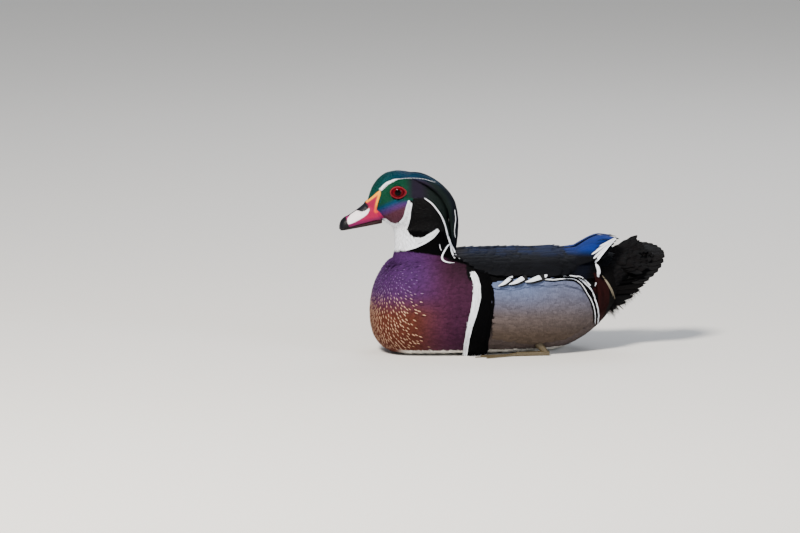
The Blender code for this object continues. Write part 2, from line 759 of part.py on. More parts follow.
def make_foot(name, side, material):
    """Three front toes joined by webs and folded half together."""
    start = (ANKLE[0] - GAP - 2.0, ANKLE[1], 0)
    pieces = []
    for length, angle in zip(TOE_LENGTHS, TOE_ANGLES):
        rows = foot_outline(start, angle, length, TOE_WIDTH)
        heights = [TOE_HEIGHT * (1 - 0.55 * step / 3) for step in range(4)]
        pieces.append(flat_tube("toe", rows, heights))
    tips = []
    for length, angle in zip(TOE_LENGTHS, TOE_ANGLES):
        direction = Vector((-math.cos(math.radians(angle)), -math.sin(math.radians(angle)), 0))
        tips.append(Vector(start) + direction * length * 0.86)
    hollow = Vector((WEB_HOLLOW, 0, 0))
    notches = [(tips[0] + tips[1]) / 2 + hollow, (tips[1] + tips[2]) / 2 + hollow]
    border = [Vector(start), tips[0], notches[0], tips[1], notches[1], tips[2]]
    low = [Vector((point.x, point.y, 0.0)) for point in border]
    high = [Vector((point.x, point.y, WEB_HEIGHT)) for point in border]
    faces = [tuple(range(6)), tuple(range(11, 5, -1))]
    faces += [(step, (step + 1) % 6, (step + 1) % 6 + 6, step + 6) for step in range(6)]
    web = make_object("web", low + high, faces)
    pieces.append(web)
    knuckle = foot_outline((ANKLE[0] - GAP, ANKLE[1], 0), 0, 7.0, SHANK_WIDTH)
    base = flat_tube(name, knuckle, [SHANK_HEIGHT * 0.8] * 2 + [SHANK_HEIGHT * 0.7] * 2, material)
    boolean(base, pieces, "UNION", flat=True)
    mirror(base, side)
    return base


def mirror(item, side):
    """Reflect the mesh to the bird's left where side is 1; it is made on the +Y side."""
    if side < 0:
        return
    body = bmesh.new()
    body.from_mesh(item.data)
    for vertex in body.verts:
        vertex.co.y = -vertex.co.y
    bmesh.ops.reverse_faces(body, faces=body.faces)
    body.to_mesh(item.data)
    body.free()


def make_leg(name, side, material):
    """The feathered thigh comes down to the heel, and the bare shank lies forward on the floor."""
    across = Vector((0, 1, 0))
    shank_rows = []
    for step in range(5):
        share = step / 4
        middle = Vector((*HEEL, 0)).lerp(Vector((*ANKLE, 0)), share)
        shank_rows.append((middle, across, SHANK_WIDTH / 2 * (1.25 if step == 0 else 1.0)))
    shank = flat_tube("shank", shank_rows, [SHANK_HEIGHT] * 5)
    heel = Vector((HEEL[0] - 3.0, HEEL[1], SHANK_HEIGHT * 0.5))
    top = Vector(THIGH_TOP)
    rings = []
    for step in range(7):
        share = step / 6
        middle = heel + (top - heel) * share
        half = SHANK_WIDTH * 0.5 + (THIGH_WIDTH / 2 - SHANK_WIDTH * 0.5) * share
        ring = []
        for part in range(12):
            turn = math.tau * part / 12
            ahead, aside = half * math.cos(turn), half * math.sin(turn)
            point = middle + Vector((0.8 * ahead, aside, 0.6 * ahead))
            point.z = max(point.z, 0.0)
            ring.append(point)
        rings.append(ring)
    thigh = loft(name, rings, material)
    boolean(thigh, [shank], "UNION", flat=True)
    mirror(thigh, side)
    return thigh


def build():
    clear_scene()
    breast = make_material("maroon and buff body feathers", (0.20, 0.07, 0.07), 0.6)
    black = make_material("black glossy feathers", (0.02, 0.02, 0.025), 0.4)
    green = make_material("green glossed head feathers", (0.02, 0.10, 0.07), 0.35)
    buff = make_material("buff flank feathers", (0.55, 0.42, 0.28), 0.7)
    bronze = make_material("bronze black wing feathers", (0.03, 0.035, 0.05), 0.4)
    horn = make_material("red and white bill horn", (0.65, 0.10, 0.08), 0.3)
    dark_horn = make_material("dark bill horn", (0.05, 0.03, 0.03), 0.35)
    iris = make_material("dark red eye", (0.35, 0.02, 0.01), 0.1)
    skin = make_material("dull yellow leg skin", (0.45, 0.32, 0.10), 0.5)

    torso = make_torso(breast)
    head = make_head(green)
    boolean(head, [make_lid(1), make_lid(-1)], "UNION")
    boolean(head, [make_eye("socket", 1, None, GAP), make_eye("socket", -1, None, GAP)], "DIFFERENCE",
            flat=True)
    make_eye("eye_left", -1, iris)
    make_eye("eye_right", 1, iris)
    plain_head = make_head(None)

    neck = make_neck(black)
    boolean(neck, [grown(torso), grown(plain_head)], "DIFFERENCE", flat=True)

    upper = make_upper_bill(horn)
    boolean(upper, [grown(plain_head), make_nostril(1), make_nostril(-1)], "DIFFERENCE", flat=True)
    lower = make_lower_bill(dark_horn)
    boolean(lower, [grown(plain_head)], "DIFFERENCE")

    crest = make_crest(green)
    coarse_head = make_head(None, HEAD_AROUND // 2, 2)
    boolean(crest, [grown(coarse_head, COARSE_GAP), grown(neck), grown(torso)], "DIFFERENCE")
    bpy.data.objects.remove(coarse_head, do_unlink=True)
    bpy.data.objects.remove(plain_head, do_unlink=True)

    for label, side in (("left", 1), ("right", -1)):
        wing = make_wing("wing_" + label, side, bronze)
        boolean(wing, [grown(torso), grown(neck)], "DIFFERENCE")
        flank = make_flank("flank_" + label, side, buff)
        boolean(flank, [grown(torso)], "DIFFERENCE")
        leg = make_leg("leg_" + label, side, skin)
        boolean(leg, [grown(torso)], "DIFFERENCE")
        make_foot("foot_" + label, side, skin)

    tail = make_tail(black)
    boolean(tail, [grown(torso)], "DIFFERENCE")

    for item in bpy.data.objects:
        round_off(item)


build()
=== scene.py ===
"""The finish of a drake wood duck, life size: skin, plumage, bill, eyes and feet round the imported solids."""

import math

import bmesh
import bpy
import numpy as np
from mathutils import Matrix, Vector
from mathutils.bvhtree import BVHTree
from mathutils.kdtree import KDTree


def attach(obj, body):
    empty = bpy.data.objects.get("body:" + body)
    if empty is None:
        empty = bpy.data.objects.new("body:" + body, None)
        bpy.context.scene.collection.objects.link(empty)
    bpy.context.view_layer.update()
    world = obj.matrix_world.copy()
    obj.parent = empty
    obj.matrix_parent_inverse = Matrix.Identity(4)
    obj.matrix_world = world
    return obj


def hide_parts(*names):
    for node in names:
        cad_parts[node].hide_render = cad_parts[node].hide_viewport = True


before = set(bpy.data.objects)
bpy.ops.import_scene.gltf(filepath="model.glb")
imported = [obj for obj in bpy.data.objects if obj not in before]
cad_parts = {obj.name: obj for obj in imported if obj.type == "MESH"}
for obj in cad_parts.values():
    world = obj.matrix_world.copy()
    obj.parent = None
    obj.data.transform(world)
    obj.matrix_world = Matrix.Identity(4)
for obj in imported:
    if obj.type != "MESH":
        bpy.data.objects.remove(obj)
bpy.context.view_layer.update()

# ---------------------------------------------------------------------------------------------
# Camera, floor and light: a long lens at the left side, a little ahead of the bird and above it,
# over a pale matt floor under three large soft lamps.
# ---------------------------------------------------------------------------------------------
MM = 0.001
SIDE_TURN = math.radians(-8.0)
SIDE_RISE = math.radians(8.5)
PIXEL_SIZE = 1.08
PICTURE = (800, 533)
MIDDLE_PIXEL = (502.7, 317.0)
MIDDLE_HEIGHT = 35.0
CAMERA_DISTANCE = 12000.0
SENSOR = 36.0

ACROSS = np.array([math.cos(SIDE_TURN), math.sin(SIDE_TURN), 0.0])
LOOK = np.array([-math.sin(SIDE_TURN) * math.cos(SIDE_RISE), math.cos(SIDE_TURN) * math.cos(SIDE_RISE),
                 -math.sin(SIDE_RISE)])
UPRIGHT = np.cross(ACROSS, LOOK)


def linear(hex_colour):
    """Linear red, green and blue of an sRGB hex colour."""
    parts = [int(hex_colour[start:start + 2], 16) / 255 for start in (0, 2, 4)]
    return np.array([part / 12.92 if part <= 0.04045 else ((part + 0.055) / 1.055) ** 2.4 for part in parts])


def add_node(material, kind, inputs=None, **settings):
    """Add a node with its settings, and with its inputs as values or as other nodes' outputs."""
    item = material.node_tree.nodes.new(kind)
    for name, value in settings.items():
        setattr(item, name, value)
    for name, value in (inputs or {}).items():
        if isinstance(value, bpy.types.NodeSocket):
            material.node_tree.links.new(value, item.inputs[name])
        else:
            item.inputs[name].default_value = value
    return item


def new_material(name):
    """An empty material with its own output node."""
    material = bpy.data.materials.new(name)
    material.use_nodes = True
    material.node_tree.nodes.clear()
    return material


def finish_material(material, shader):
    add_node(material, "ShaderNodeOutputMaterial", {"Surface": shader.outputs[0]})
    return material


def place_camera():
    camera = bpy.data.objects.new("camera", bpy.data.cameras.new("camera"))
    bpy.context.scene.collection.objects.link(camera)
    camera.data.sensor_width = SENSOR
    camera.data.lens = SENSOR * CAMERA_DISTANCE / (PICTURE[0] * PIXEL_SIZE)
    camera.data.clip_end = 100.0
    offset = (PICTURE[0] / 2 - MIDDLE_PIXEL[0], MIDDLE_PIXEL[1] - PICTURE[1] / 2)
    centre = np.array([0, 0, MIDDLE_HEIGHT]) + (ACROSS * offset[0] + UPRIGHT * offset[1]) * PIXEL_SIZE
    camera.location = (centre - LOOK * CAMERA_DISTANCE) * MM
    camera.rotation_euler = (math.pi / 2 - SIDE_RISE, 0, SIDE_TURN)
    bpy.context.scene.camera = camera


def lamp(name, place, aim, size, power, colour):
    data = bpy.data.lights.new(name, "AREA")
    data.shape = "DISK"
    data.size = size
    data.energy = power
    data.color = linear(colour)
    item = bpy.data.objects.new(name, data)
    bpy.context.scene.collection.objects.link(item)
    item.location = place
    item.rotation_euler = (Vector(aim) - Vector(place)).to_track_quat("-Z", "Y").to_euler()


place_camera()
lamp("key lamp", (-1.1, -1.5, 2.0), (0, 0, 0.08), 0.6, 150, "FFF8EE")
lamp("fill lamp", (1.6, -1.7, 0.9), (0, 0, 0.08), 1.0, 22, "E8F0FF")
lamp("back lamp", (0.6, 1.5, 1.6), (0, 0, 0.08), 1.2, 15, "F2F6FF")

world = bpy.data.worlds.new("studio")
world.use_nodes = True
world.node_tree.nodes["Background"].inputs["Color"].default_value = (*linear("E9EEF5"), 1)
world.node_tree.nodes["Background"].inputs["Strength"].default_value = 0.5
bpy.context.scene.world = world

# Floor paint, matt and pale: it gives a soft shadow and no gloss.
floor_paint = new_material("matt floor paint")
paint_grain = add_node(floor_paint, "ShaderNodeTexNoise", {"Scale": 9.0, "Detail": 3.0})
paint_colour = add_node(floor_paint, "ShaderNodeMix", {"Factor": paint_grain.outputs["Fac"],
                        "A": (*linear("DCDAD6"), 1), "B": (*linear("E2E0DC"), 1)}, data_type="RGBA")
finish_material(floor_paint, add_node(floor_paint, "ShaderNodeBsdfPrincipled",
                {"Base Color": paint_colour.outputs["Result"], "Roughness": 0.85}))

floor_mesh = bpy.data.meshes.new("studio_floor")
FLOOR_HALF = 30.0
floor_mesh.from_pydata([(-FLOOR_HALF, -FLOOR_HALF, 0), (FLOOR_HALF, -FLOOR_HALF, 0),
                        (FLOOR_HALF, FLOOR_HALF, 0), (-FLOOR_HALF, FLOOR_HALF, 0)], [], [(0, 1, 2, 3)])
floor_mesh.materials.append(floor_paint)
floor = bpy.data.objects.new("studio_floor", floor_mesh)
bpy.context.scene.collection.objects.link(floor)

# ---------------------------------------------------------------------------------------------
# Skin: one closed skin over body, neck, head and tail root, under the feathers. It is the flesh
# solids melted together and drawn in by the depth of the coat, so that no seam shows.
# ---------------------------------------------------------------------------------------------
SKIN_GRID = 2.0
SKIN_SMOOTHING = 5
COAT_DEPTH = 1.9
HEAD_COAT_DEPTH = 1.1
# Tail root: place along X, top, bottom, half width
TAIL_ROOT = [(100.0, 95.0, 46.0, 23.0), (114.0, 97.0, 52.0, 20.0), (126.0, 98.0, 62.0, 15.5),
             (138.0, 99.0, 75.0, 10.0), (147.0, 98.0, 87.0, 5.0)]
HEAD_TURN = math.radians(8.0)
TURN_AXIS = -88.9
TURN_HEIGHTS = (100.0, 135.0)


def soft_step(low, high, value):
    share = np.clip((value - low) / (high - low), 0, 1)
    return share * share * (3 - 2 * share)


def turn_head(points, sign=1):
    """Points after the neck and head turn to the bird's right, or back again with a sign of -1."""
    angle = -sign * HEAD_TURN * soft_step(*TURN_HEIGHTS, points[:, 2])
    x, y = points[:, 0] - TURN_AXIS, points[:, 1]
    return np.column_stack([TURN_AXIS + x * np.cos(angle) - y * np.sin(angle),
                            x * np.sin(angle) + y * np.cos(angle), points[:, 2]])


def smooth_curve(points, count):
    """Even steps along a smooth curve through points, by their number."""
    points = np.asarray(points, float)
    last = len(points) - 1
    slopes = np.gradient(points, axis=0)
    at = np.linspace(0, last, count)
    low = np.minimum(at.astype(int), last - 1)
    share = (at - low)[:, None]
    rest = 1 - share
    return (points[low] * (1 + 2 * share) * rest ** 2 + points[low + 1] * (3 - 2 * share) * share ** 2
            + share * rest * (slopes[low] * rest - slopes[low + 1] * share))


def mesh_from(name, points, quads, triangles=()):
    """A mesh from arrays of points in millimetres and of faces."""
    mesh = bpy.data.meshes.new(name)
    quads = np.asarray(quads, np.int32).reshape(-1, 4)
    triangles = np.asarray(triangles, np.int32).reshape(-1, 3)
    corners = np.concatenate([quads.ravel(), triangles.ravel()])
    starts = np.concatenate([np.arange(len(quads)) * 4, len(quads) * 4 + np.arange(len(triangles)) * 3])
    mesh.vertices.add(len(points))
    mesh.vertices.foreach_set("co", (np.asarray(points, np.float32) * MM).ravel())
    mesh.loops.add(len(corners))
    mesh.loops.foreach_set("vertex_index", corners.astype(np.int32))
    mesh.polygons.add(len(starts))
    mesh.polygons.foreach_set("loop_start", starts.astype(np.int32))
    mesh.update(calc_edges=True)
    mesh.shade_smooth()
    return mesh


def tube_faces(rows, around, closed=True):
    """Quads of a tube of rings, and triangles to a point at each end that follow its rings."""
    row, step = np.meshgrid(np.arange(rows - 1), np.arange(around), indexing="ij")
    after = (step + 1) % around
    quads = np.stack([row * around + step, row * around + after, (row + 1) * around + after,
                      (row + 1) * around + step], -1).reshape(-1, 4)
    if not closed:
        return quads, np.zeros((0, 3), int)
    step = np.arange(around)
    after = (step + 1) % around
    first, last = np.full(around, rows * around), np.full(around, rows * around + 1)
    base = (rows - 1) * around
    ends = np.concatenate([np.stack([after, step, first], -1), np.stack([base + step, base + after, last], -1)])
    return quads, ends


def closed_tube(name, rings):
    """A closed tube through rings of points of equal count."""
    rings = np.asarray(rings, float)
    points = np.concatenate([rings.reshape(-1, 3), [rings[0].mean(0)], [rings[-1].mean(0)]])
    return mesh_from(name, points, *tube_faces(len(rings), rings.shape[1]))


def add_piece(name, mesh, material, body="root"):
    """An object of the model, that rides on the body and takes the given material."""
    item = bpy.data.objects.new(name, mesh)
    bpy.context.scene.collection.objects.link(item)
    if material and not mesh.materials:
        mesh.materials.append(material)
    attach(item, body)
    return item


def mesh_arrays(mesh):
    """Points in millimetres, their normals and the triangles of a mesh."""
    points = np.empty(len(mesh.vertices) * 3, np.float32)
    mesh.vertices.foreach_get("co", points)
    normals = np.empty(len(mesh.vertices) * 3, np.float32)
    mesh.vertex_normals.foreach_get("vector", normals)
    mesh.calc_loop_triangles()
    triangles = np.empty(len(mesh.loop_triangles) * 3, np.int32)
    mesh.loop_triangles.foreach_get("vertices", triangles)
    return points.reshape(-1, 3).astype(float) / MM, normals.reshape(-1, 3).astype(float), triangles.reshape(-1, 3)


def melted(name, nodes, extra, grid_size, smoothing):
    """Solids joined, melted on a grid and smoothed."""
    body = bmesh.new()
    for node in nodes:
        body.from_mesh(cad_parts[node].data)
    if extra:
        body.from_mesh(extra)
    mesh = bpy.data.meshes.new(name)
    body.to_mesh(mesh)
    body.free()
    item = bpy.data.objects.new(name, mesh)
    bpy.context.scene.collection.objects.link(item)
    grid = item.modifiers.new("melt", "REMESH")
    grid.mode = "VOXEL"
    grid.voxel_size = grid_size * MM
    soft = item.modifiers.new("soften", "SMOOTH")
    soft.iterations = smoothing
    result = bpy.data.meshes.new_from_object(item.evaluated_get(bpy.context.evaluated_depsgraph_get()))
    bpy.data.objects.remove(item, do_unlink=True)
    result.name = name
    result.materials.clear()
    return result


def tail_root():
    turns = np.linspace(0, 2 * math.pi, 20, endpoint=False)
    return closed_tube("tail_root", [
        np.column_stack([np.full(20, x), half * np.sin(turns), (top + low) / 2 + (top - low) / 2 * np.cos(turns)])
        for x, top, low, half in smooth_curve(TAIL_ROOT, 12)])


skin_mesh = melted("skin", ("torso", "neck", "head"), tail_root(), SKIN_GRID, SKIN_SMOOTHING)
skin_points, skin_normals, skin_triangles = mesh_arrays(skin_mesh)
depth = HEAD_COAT_DEPTH + (COAT_DEPTH - HEAD_COAT_DEPTH) * (1 - soft_step(118, 140, skin_points[:, 2]))
skin_points = skin_points - skin_normals * depth[:, None]
skin_points[:, 2] = np.maximum(skin_points[:, 2], 0.4)
skin_mesh.vertices.foreach_set("co", (skin_points * MM).astype(np.float32).ravel())
skin_mesh.update()
skin_mesh.shade_smooth()
skin_tree = BVHTree.FromPolygons(skin_points.tolist(), skin_triangles.tolist())

# Markings are drawn on the plane of the side view, in millimetres across and up, and are the same
# on both sides. Each line is a few points along an edge of a patch.
BROW_LINE = [(-131.7, 172.2), (-125.0, 178.2), (-117.4, 182.0), (-112.0, 183.1), (-95.3, 184.2),
             (-85.0, 183.0), (-73.1, 179.6)]
BROW_WIDTHS = [2.8, 3.2, 2.0, 0.5, 0.3, 0.3, 0.3]
NAPE_LINE = [(-84.7, 162.7), (-77.2, 157.2), (-70.2, 149.2), (-65.2, 140.2), (-61.8, 130.2),
             (-59.7, 121.2), (-57.8, 114.2)]
CHEEK_BAR_FRONT = [(-101.2, 160.2), (-103.7, 151.2), (-106.2, 142.2), (-111.1, 136.2)]
CHEEK_BAR_HIND = [(-98.6, 157.4), (-100.2, 148.2), (-101.2, 140.2), (-104.2, 130.2)]
FACE_EDGE = [(-138.0, 147.0), (-134.7, 145.3), (-130.7, 142.2), (-125.2, 140.2), (-120.2, 136.2),
             (-115.2, 135.3)]
CRESCENT_TOP = [(-101.2, 124.2), (-95.1, 119.3), (-87.2, 119.3), (-79.2, 123.3), (-70.2, 129.2)]
CRESCENT_LOW = [(-69.3, 128.9), (-76.3, 121.7), (-86.0, 115.7), (-94.6, 111.0), (-105.2, 106.9),
                (-118.2, 105.8), (-140.0, 105.0)]
CHEEK_BLEND = [(-134.7, 149.1), (-126.0, 152.9), (-116.3, 157.2), (-106.6, 161.0)]
NECK_EDGE = [(-150.0, 105.3), (-118.2, 105.3), (-105.5, 104.8), (-86.1, 103.2), (-66.6, 100.5),
             (-56.9, 96.0), (-44.0, 92.0)]
BACK_EDGE = [(-60.0, 96.0), (-44.0, 93.0), (-29.9, 84.5), (-13.7, 78.0), (20.0, 82.0), (65.0, 80.0),
             (100.0, 74.0), (130.0, 60.0)]
BAR_FRONT = [(-8.0, -43.5), (8.0, -41.6), (24.0, -38.6), (38.0, -35.6), (51.0, -33.0), (68.8, -31.5), (83.0, -35.6)]
BAR_HIND = [(-8.0, -39.5), (8.0, -37.2), (24.0, -33.7), (42.2, -27.1), (57.0, -24.1), (68.8, -24.8), (83.0, -29.5)]
BLACK_HIND = [(-8.0, -19.0), (8.0, -16.4), (24.0, -14.0), (42.2, -10.8), (57.0, -10.0), (71.8, -13.0), (83.0, -17.0)]
POCKET_HIND = [(20.0, 98.0), (39.1, 102.5), (51.0, 99.6), (62.9, 95.0), (68.8, 89.2), (74.8, 81.8),
               (80.0, 70.0)]
RUMP_PATCH = [(98.0, 80.0), (105.0, 76.0), (110.5, 66.0), (112.9, 54.0), (111.3, 40.0), (104.0, 26.0),
              (98.0, 30.0)]
BELLY_HEIGHT = 6.5

CROWN_FRONT, CROWN_TOP, CROWN_HIND = (linear(shade) for shade in ("044C40", "022C44", "0A2030"))
FACE_GREEN, FACE_BLUE, FACE_PURPLE, FACE_MAROON = (
    linear(shade) for shade in ("033E2A", "0C3860", "4A2A66", "4C2836"))
TEMPLE_PURPLE, CREST_BRONZE, HEAD_BLACK = (linear(shade) for shade in ("1A1424", "101A18", "020203"))
WHITE, BUFF_WHITE, BELLY_WHITE = (linear(shade) for shade in ("EEF2FA", "E2CDB4", "E6E2DA"))
BREAST_PURPLE, BREAST_MAROON, BREAST_CHESTNUT, SIDE_BROWN = (
    linear(shade) for shade in ("402350", "401C30", "50281F", "22101A"))
BACK_BLACK, RUMP_BLACK, RUMP_MAROON, POCKET_BUFF = (
    linear(shade) for shade in ("050609", "060505", "220A0A", "4E4442"))


def side_view(points):
    """Places of points on the side view plane, as seen from the left; the right side mirrors it."""
    level = turn_head(points, -1)
    level[:, 1] = -np.abs(level[:, 1])
    level = turn_head(level)
    return level @ ACROSS, level @ UPRIGHT


def at_line(line, value):
    """The line's second number at a value of its first."""
    line = np.asarray(line)
    return np.interp(value, line[:, 0], line[:, 1])


def inside(across, up, *lines):
    """Which places lie inside the closed outline of the lines."""
    outline = np.concatenate([np.asarray(line, float) for line in lines])
    found = np.zeros(len(across), bool)
    for (x0, y0), (x1, y1) in zip(outline, np.roll(outline, -1, axis=0)):
        crosses = (y0 > up) != (y1 > up)
        reach = x0 + (up - y0) * (x1 - x0) / (y1 - y0 if y1 != y0 else 1e-9)
        found ^= crosses & (across < reach)
    return found


def distance_to(across, up, line):
    """Distance of places from a line, and how far along it the nearest spot is."""
    best, spot = np.full(len(across), 1e9), np.zeros(len(across))
    line = np.asarray(line, float)
    for number, ((x0, y0), (x1, y1)) in enumerate(zip(line, line[1:])):
        dx, dy = x1 - x0, y1 - y0
        share = np.clip(((across - x0) * dx + (up - y0) * dy) / (dx * dx + dy * dy), 0, 1)
        gap = np.hypot(across - x0 - share * dx, up - y0 - share * dy)
        nearer = gap < best
        best, spot = np.where(nearer, gap, best), np.where(nearer, number + share, spot)
    return best, spot


def blend(colours, share):
    """Colours along an even row of colours."""
    share = np.clip(share, 0, 1) * (len(colours) - 1)
    low = np.minimum(share.astype(int), len(colours) - 2)
    part = (share - low)[..., None]
    return np.asarray(colours)[low] * (1 - part) + np.asarray(colours)[low + 1] * part


def crown_colour(across):
    return blend([CROWN_FRONT, CROWN_TOP, CROWN_HIND], (across + 146) / 76)


def plumage(points, normals):
    """Colour of the plumage at places on the skin: body first, then neck and head."""
    across, up = side_view(points)
    tint = np.tile(BREAST_PURPLE, (len(points), 1))

    def paint(colour, share):
        share = np.asarray(share, float)[:, None]
        tint[:] = tint * (1 - share) + colour * share

    paint(BREAST_MAROON, 0.85 * soft_step(-100, -54, across) + 0.3 * soft_step(80, 50, up) * soft_step(-54, -100, across))
    paint(BREAST_CHESTNUT, soft_step(62, 34, up) * soft_step(-48, -98, across))
    paint(SIDE_BROWN, 0.85 * soft_step(-84, -44, across) * soft_step(58, 90, up))
    paint(SIDE_BROWN, 0.40 * soft_step(-78, -40, across))
    paint(BACK_BLACK, (up > at_line(BACK_EDGE, across)) & (across > -60))
    bar_front, bar_hind, black_hind = (at_line(line, up) for line in (BAR_FRONT, BAR_HIND, BLACK_HIND))
    low = up < 83
    paint(HEAD_BLACK, (across > bar_front - 4) & (across <= black_hind + 6) & (up < 100) & (up > 74))
    paint(HEAD_BLACK, low & (across > bar_hind) & (across <= black_hind))
    paint(WHITE, low & (across > bar_front) & (across <= bar_hind))
    pocket = (across > black_hind) & (across < at_line(POCKET_HIND, up)) & (up < at_line(BACK_EDGE, across))
    paint(POCKET_BUFF, pocket)
    paint(HEAD_BLACK, pocket & (up > 63))
    behind = (across >= at_line(POCKET_HIND, up)) & (across > 40)
    paint(RUMP_BLACK, behind & (up < 92))
    paint(RUMP_MAROON, inside(across, up, RUMP_PATCH))
    belly = (points[:, 2] < BELLY_HEIGHT) & (normals[:, 2] < -0.15)
    paint(BELLY_WHITE, belly * soft_step(-122, -104, points[:, 0]) * soft_step(88, 74, points[:, 0]))
    high = (points[:, 2] > 84) & (up > at_line(NECK_EDGE, across)) & (across < -40)
    paint(HEAD_BLACK, high)
    crown = crown_colour(across)
    brow, brow_spot = distance_to(across, up, BROW_LINE)
    brow_up = at_line(BROW_LINE, across)
    above = high & ((up > brow_up) | (across < -131.7)) & (up > 158)
    tint[above] = crown[above]
    face_low = at_line(FACE_EDGE + CHEEK_BAR_FRONT[::-1][1:], across)
    face = high & ~above & (across < -97) & (up > face_low)
    toward = up - at_line(CHEEK_BLEND, across)
    cheek = blend([FACE_MAROON, FACE_PURPLE, FACE_BLUE, FACE_GREEN, FACE_GREEN], (toward + 9.5) / 20)
    tint[face] = cheek[face]
    paint(FACE_GREEN, face * soft_step(-4, 1, toward) * soft_step(-118, -104, across))
    temple = high & ~above & (across >= -106) & (up > np.where(across < -84.7, 162.7, at_line(NAPE_LINE, across)))
    hind = blend([FACE_GREEN, TEMPLE_PURPLE, TEMPLE_PURPLE, CREST_BRONZE, CREST_BRONZE], (across + 106) / 36)
    tint[temple] = hind[temple]
    throat = inside(across, up, FACE_EDGE[::-1], [(-150, 147)], [(-150, 100)], CRESCENT_LOW[::-1],
                    CRESCENT_TOP[::-1], CHEEK_BAR_HIND[::-1], CHEEK_BAR_FRONT)
    paint(WHITE, high & throat)
    paint(WHITE, high & (brow < np.interp(brow_spot, range(7), BROW_WIDTHS) / 2) & (across < -114))
    return tint


def set_attributes(mesh, tint, vane=None):
    colours = mesh.color_attributes.new("tint", "FLOAT_COLOR", "POINT")
    colours.data.foreach_set("color", np.column_stack([tint, np.ones(len(tint))]).astype(np.float32).ravel())
    if vane is not None:
        vanes = mesh.attributes.new("vane", "FLOAT_VECTOR", "POINT")
        vanes.data.foreach_set("vector", np.asarray(vane, np.float32).ravel())


def unwrap(points):
    """Places on a flat unwrap of the skin: one patch for the body, one for the head, one for the neck."""
    level = turn_head(points, -1)
    x, y, z = level.T
    round_body = np.arctan2(y, z - 52) / (2 * math.pi) + 0.5
    round_head = np.arctan2(y, z - 160) / (2 * math.pi) + 0.5
    round_neck = np.arctan2(y, x + 86) / (2 * math.pi) + 0.5
    body = np.column_stack([0.01 + 0.98 * round_body, 0.01 + 0.62 * (x + 150) / 300])
    head = np.column_stack([0.01 + 0.55 * round_head, 0.66 + 0.31 * (x + 150) / 106])
    neck = np.column_stack([0.58 + 0.40 * round_neck, 0.66 + 0.31 * (z - 84) / 60])
    zone = np.where((x < -38) & (z > 140), 2, np.where((x < -38) & (z > 100), 1, 0))
    return np.where((zone == 2)[:, None], head, np.where((zone == 1)[:, None], neck, body))


def set_map(mesh, corners):
    layer = mesh.uv_layers.new(name="OFBake")
    layer.data.foreach_set("uv", corners.astype(np.float32).ravel())


def corner_points(mesh):
    indexes = np.empty(len(mesh.loops), np.int32)
    mesh.loops.foreach_get("vertex_index", indexes)
    return indexes


def barb_material(name, roughness, gloss, metallic=0.0, barb_scale=1.0, ripple=0.0, sheen=0.0):
    """Feather vane: barbs slant from a shaft, drawn about 1 mm apart so that they show."""
    material = new_material(name)
    tint = add_node(material, "ShaderNodeAttribute", attribute_name="tint")
    vane = add_node(material, "ShaderNodeSeparateXYZ", {"Vector": add_node(
        material, "ShaderNodeAttribute", attribute_name="vane").outputs["Vector"]})
    across = add_node(material, "ShaderNodeMath", {0: vane.outputs["X"]}, operation="ABSOLUTE")
    slant = add_node(material, "ShaderNodeMath", {0: across.outputs[0], 1: -2.2, 2: vane.outputs["Y"]},
                     operation="MULTIPLY_ADD")
    grain = add_node(material, "ShaderNodeTexNoise", {"Scale": 260.0, "Detail": 4.0, "Roughness": 0.6})
    bend = add_node(material, "ShaderNodeMath", {0: grain.outputs["Fac"], 1: 1.1, 2: slant.outputs[0]},
                    operation="MULTIPLY_ADD")
    wave = add_node(material, "ShaderNodeMath", {0: bend.outputs[0], 1: 2 * math.pi / barb_scale},
                    operation="MULTIPLY")
    barbs = add_node(material, "ShaderNodeMath", {0: wave.outputs[0]}, operation="SINE")
    light = add_node(material, "ShaderNodeMapRange", {"Value": barbs.outputs[0], "From Min": -1.0,
                     "From Max": 1.0, "To Min": 0.80, "To Max": 1.12})
    each = add_node(material, "ShaderNodeMapRange", {"Value": vane.outputs["Z"], "To Min": 0.82, "To Max": 1.18})
    mottle = add_node(material, "ShaderNodeMapRange", {"Value": grain.outputs["Fac"], "From Min": 0.3,
                      "From Max": 0.7, "To Min": 0.88, "To Max": 1.1})
    strength = add_node(material, "ShaderNodeMath", {0: light.outputs[0], 1: each.outputs[0]}, operation="MULTIPLY")
    strength = add_node(material, "ShaderNodeMath", {0: strength.outputs[0], 1: mottle.outputs[0]},
                        operation="MULTIPLY")
    if ripple:
        bars = add_node(material, "ShaderNodeMath", {0: grain.outputs["Fac"], 1: 2.4, 2: vane.outputs["Y"]},
                        operation="MULTIPLY_ADD")
        bars = add_node(material, "ShaderNodeMath", {0: bars.outputs[0], 1: 2 * math.pi / 1.7}, operation="MULTIPLY")
        bars = add_node(material, "ShaderNodeMath", {0: bars.outputs[0]}, operation="SINE")
        bars = add_node(material, "ShaderNodeMapRange", {"Value": bars.outputs[0], "From Min": -0.2,
                        "From Max": 0.9, "To Min": 1.0, "To Max": 1.0 - ripple})
        strength = add_node(material, "ShaderNodeMath", {0: strength.outputs[0], 1: bars.outputs[0]},
                            operation="MULTIPLY")
    colour = add_node(material, "ShaderNodeVectorMath", {0: tint.outputs["Color"], 1: strength.outputs[0]},
                      operation="MULTIPLY")
    bump = add_node(material, "ShaderNodeBump", {"Height": barbs.outputs[0], "Strength": 0.35,
                    "Distance": 0.00025})
    return finish_material(material, add_node(material, "ShaderNodeBsdfPrincipled", {
        "Base Color": colour.outputs[0], "Roughness": roughness, "Metallic": metallic,
        "Specular IOR Level": gloss, "Sheen Weight": sheen, "Sheen Roughness": 0.4,
        "Normal": bump.outputs[0]}))
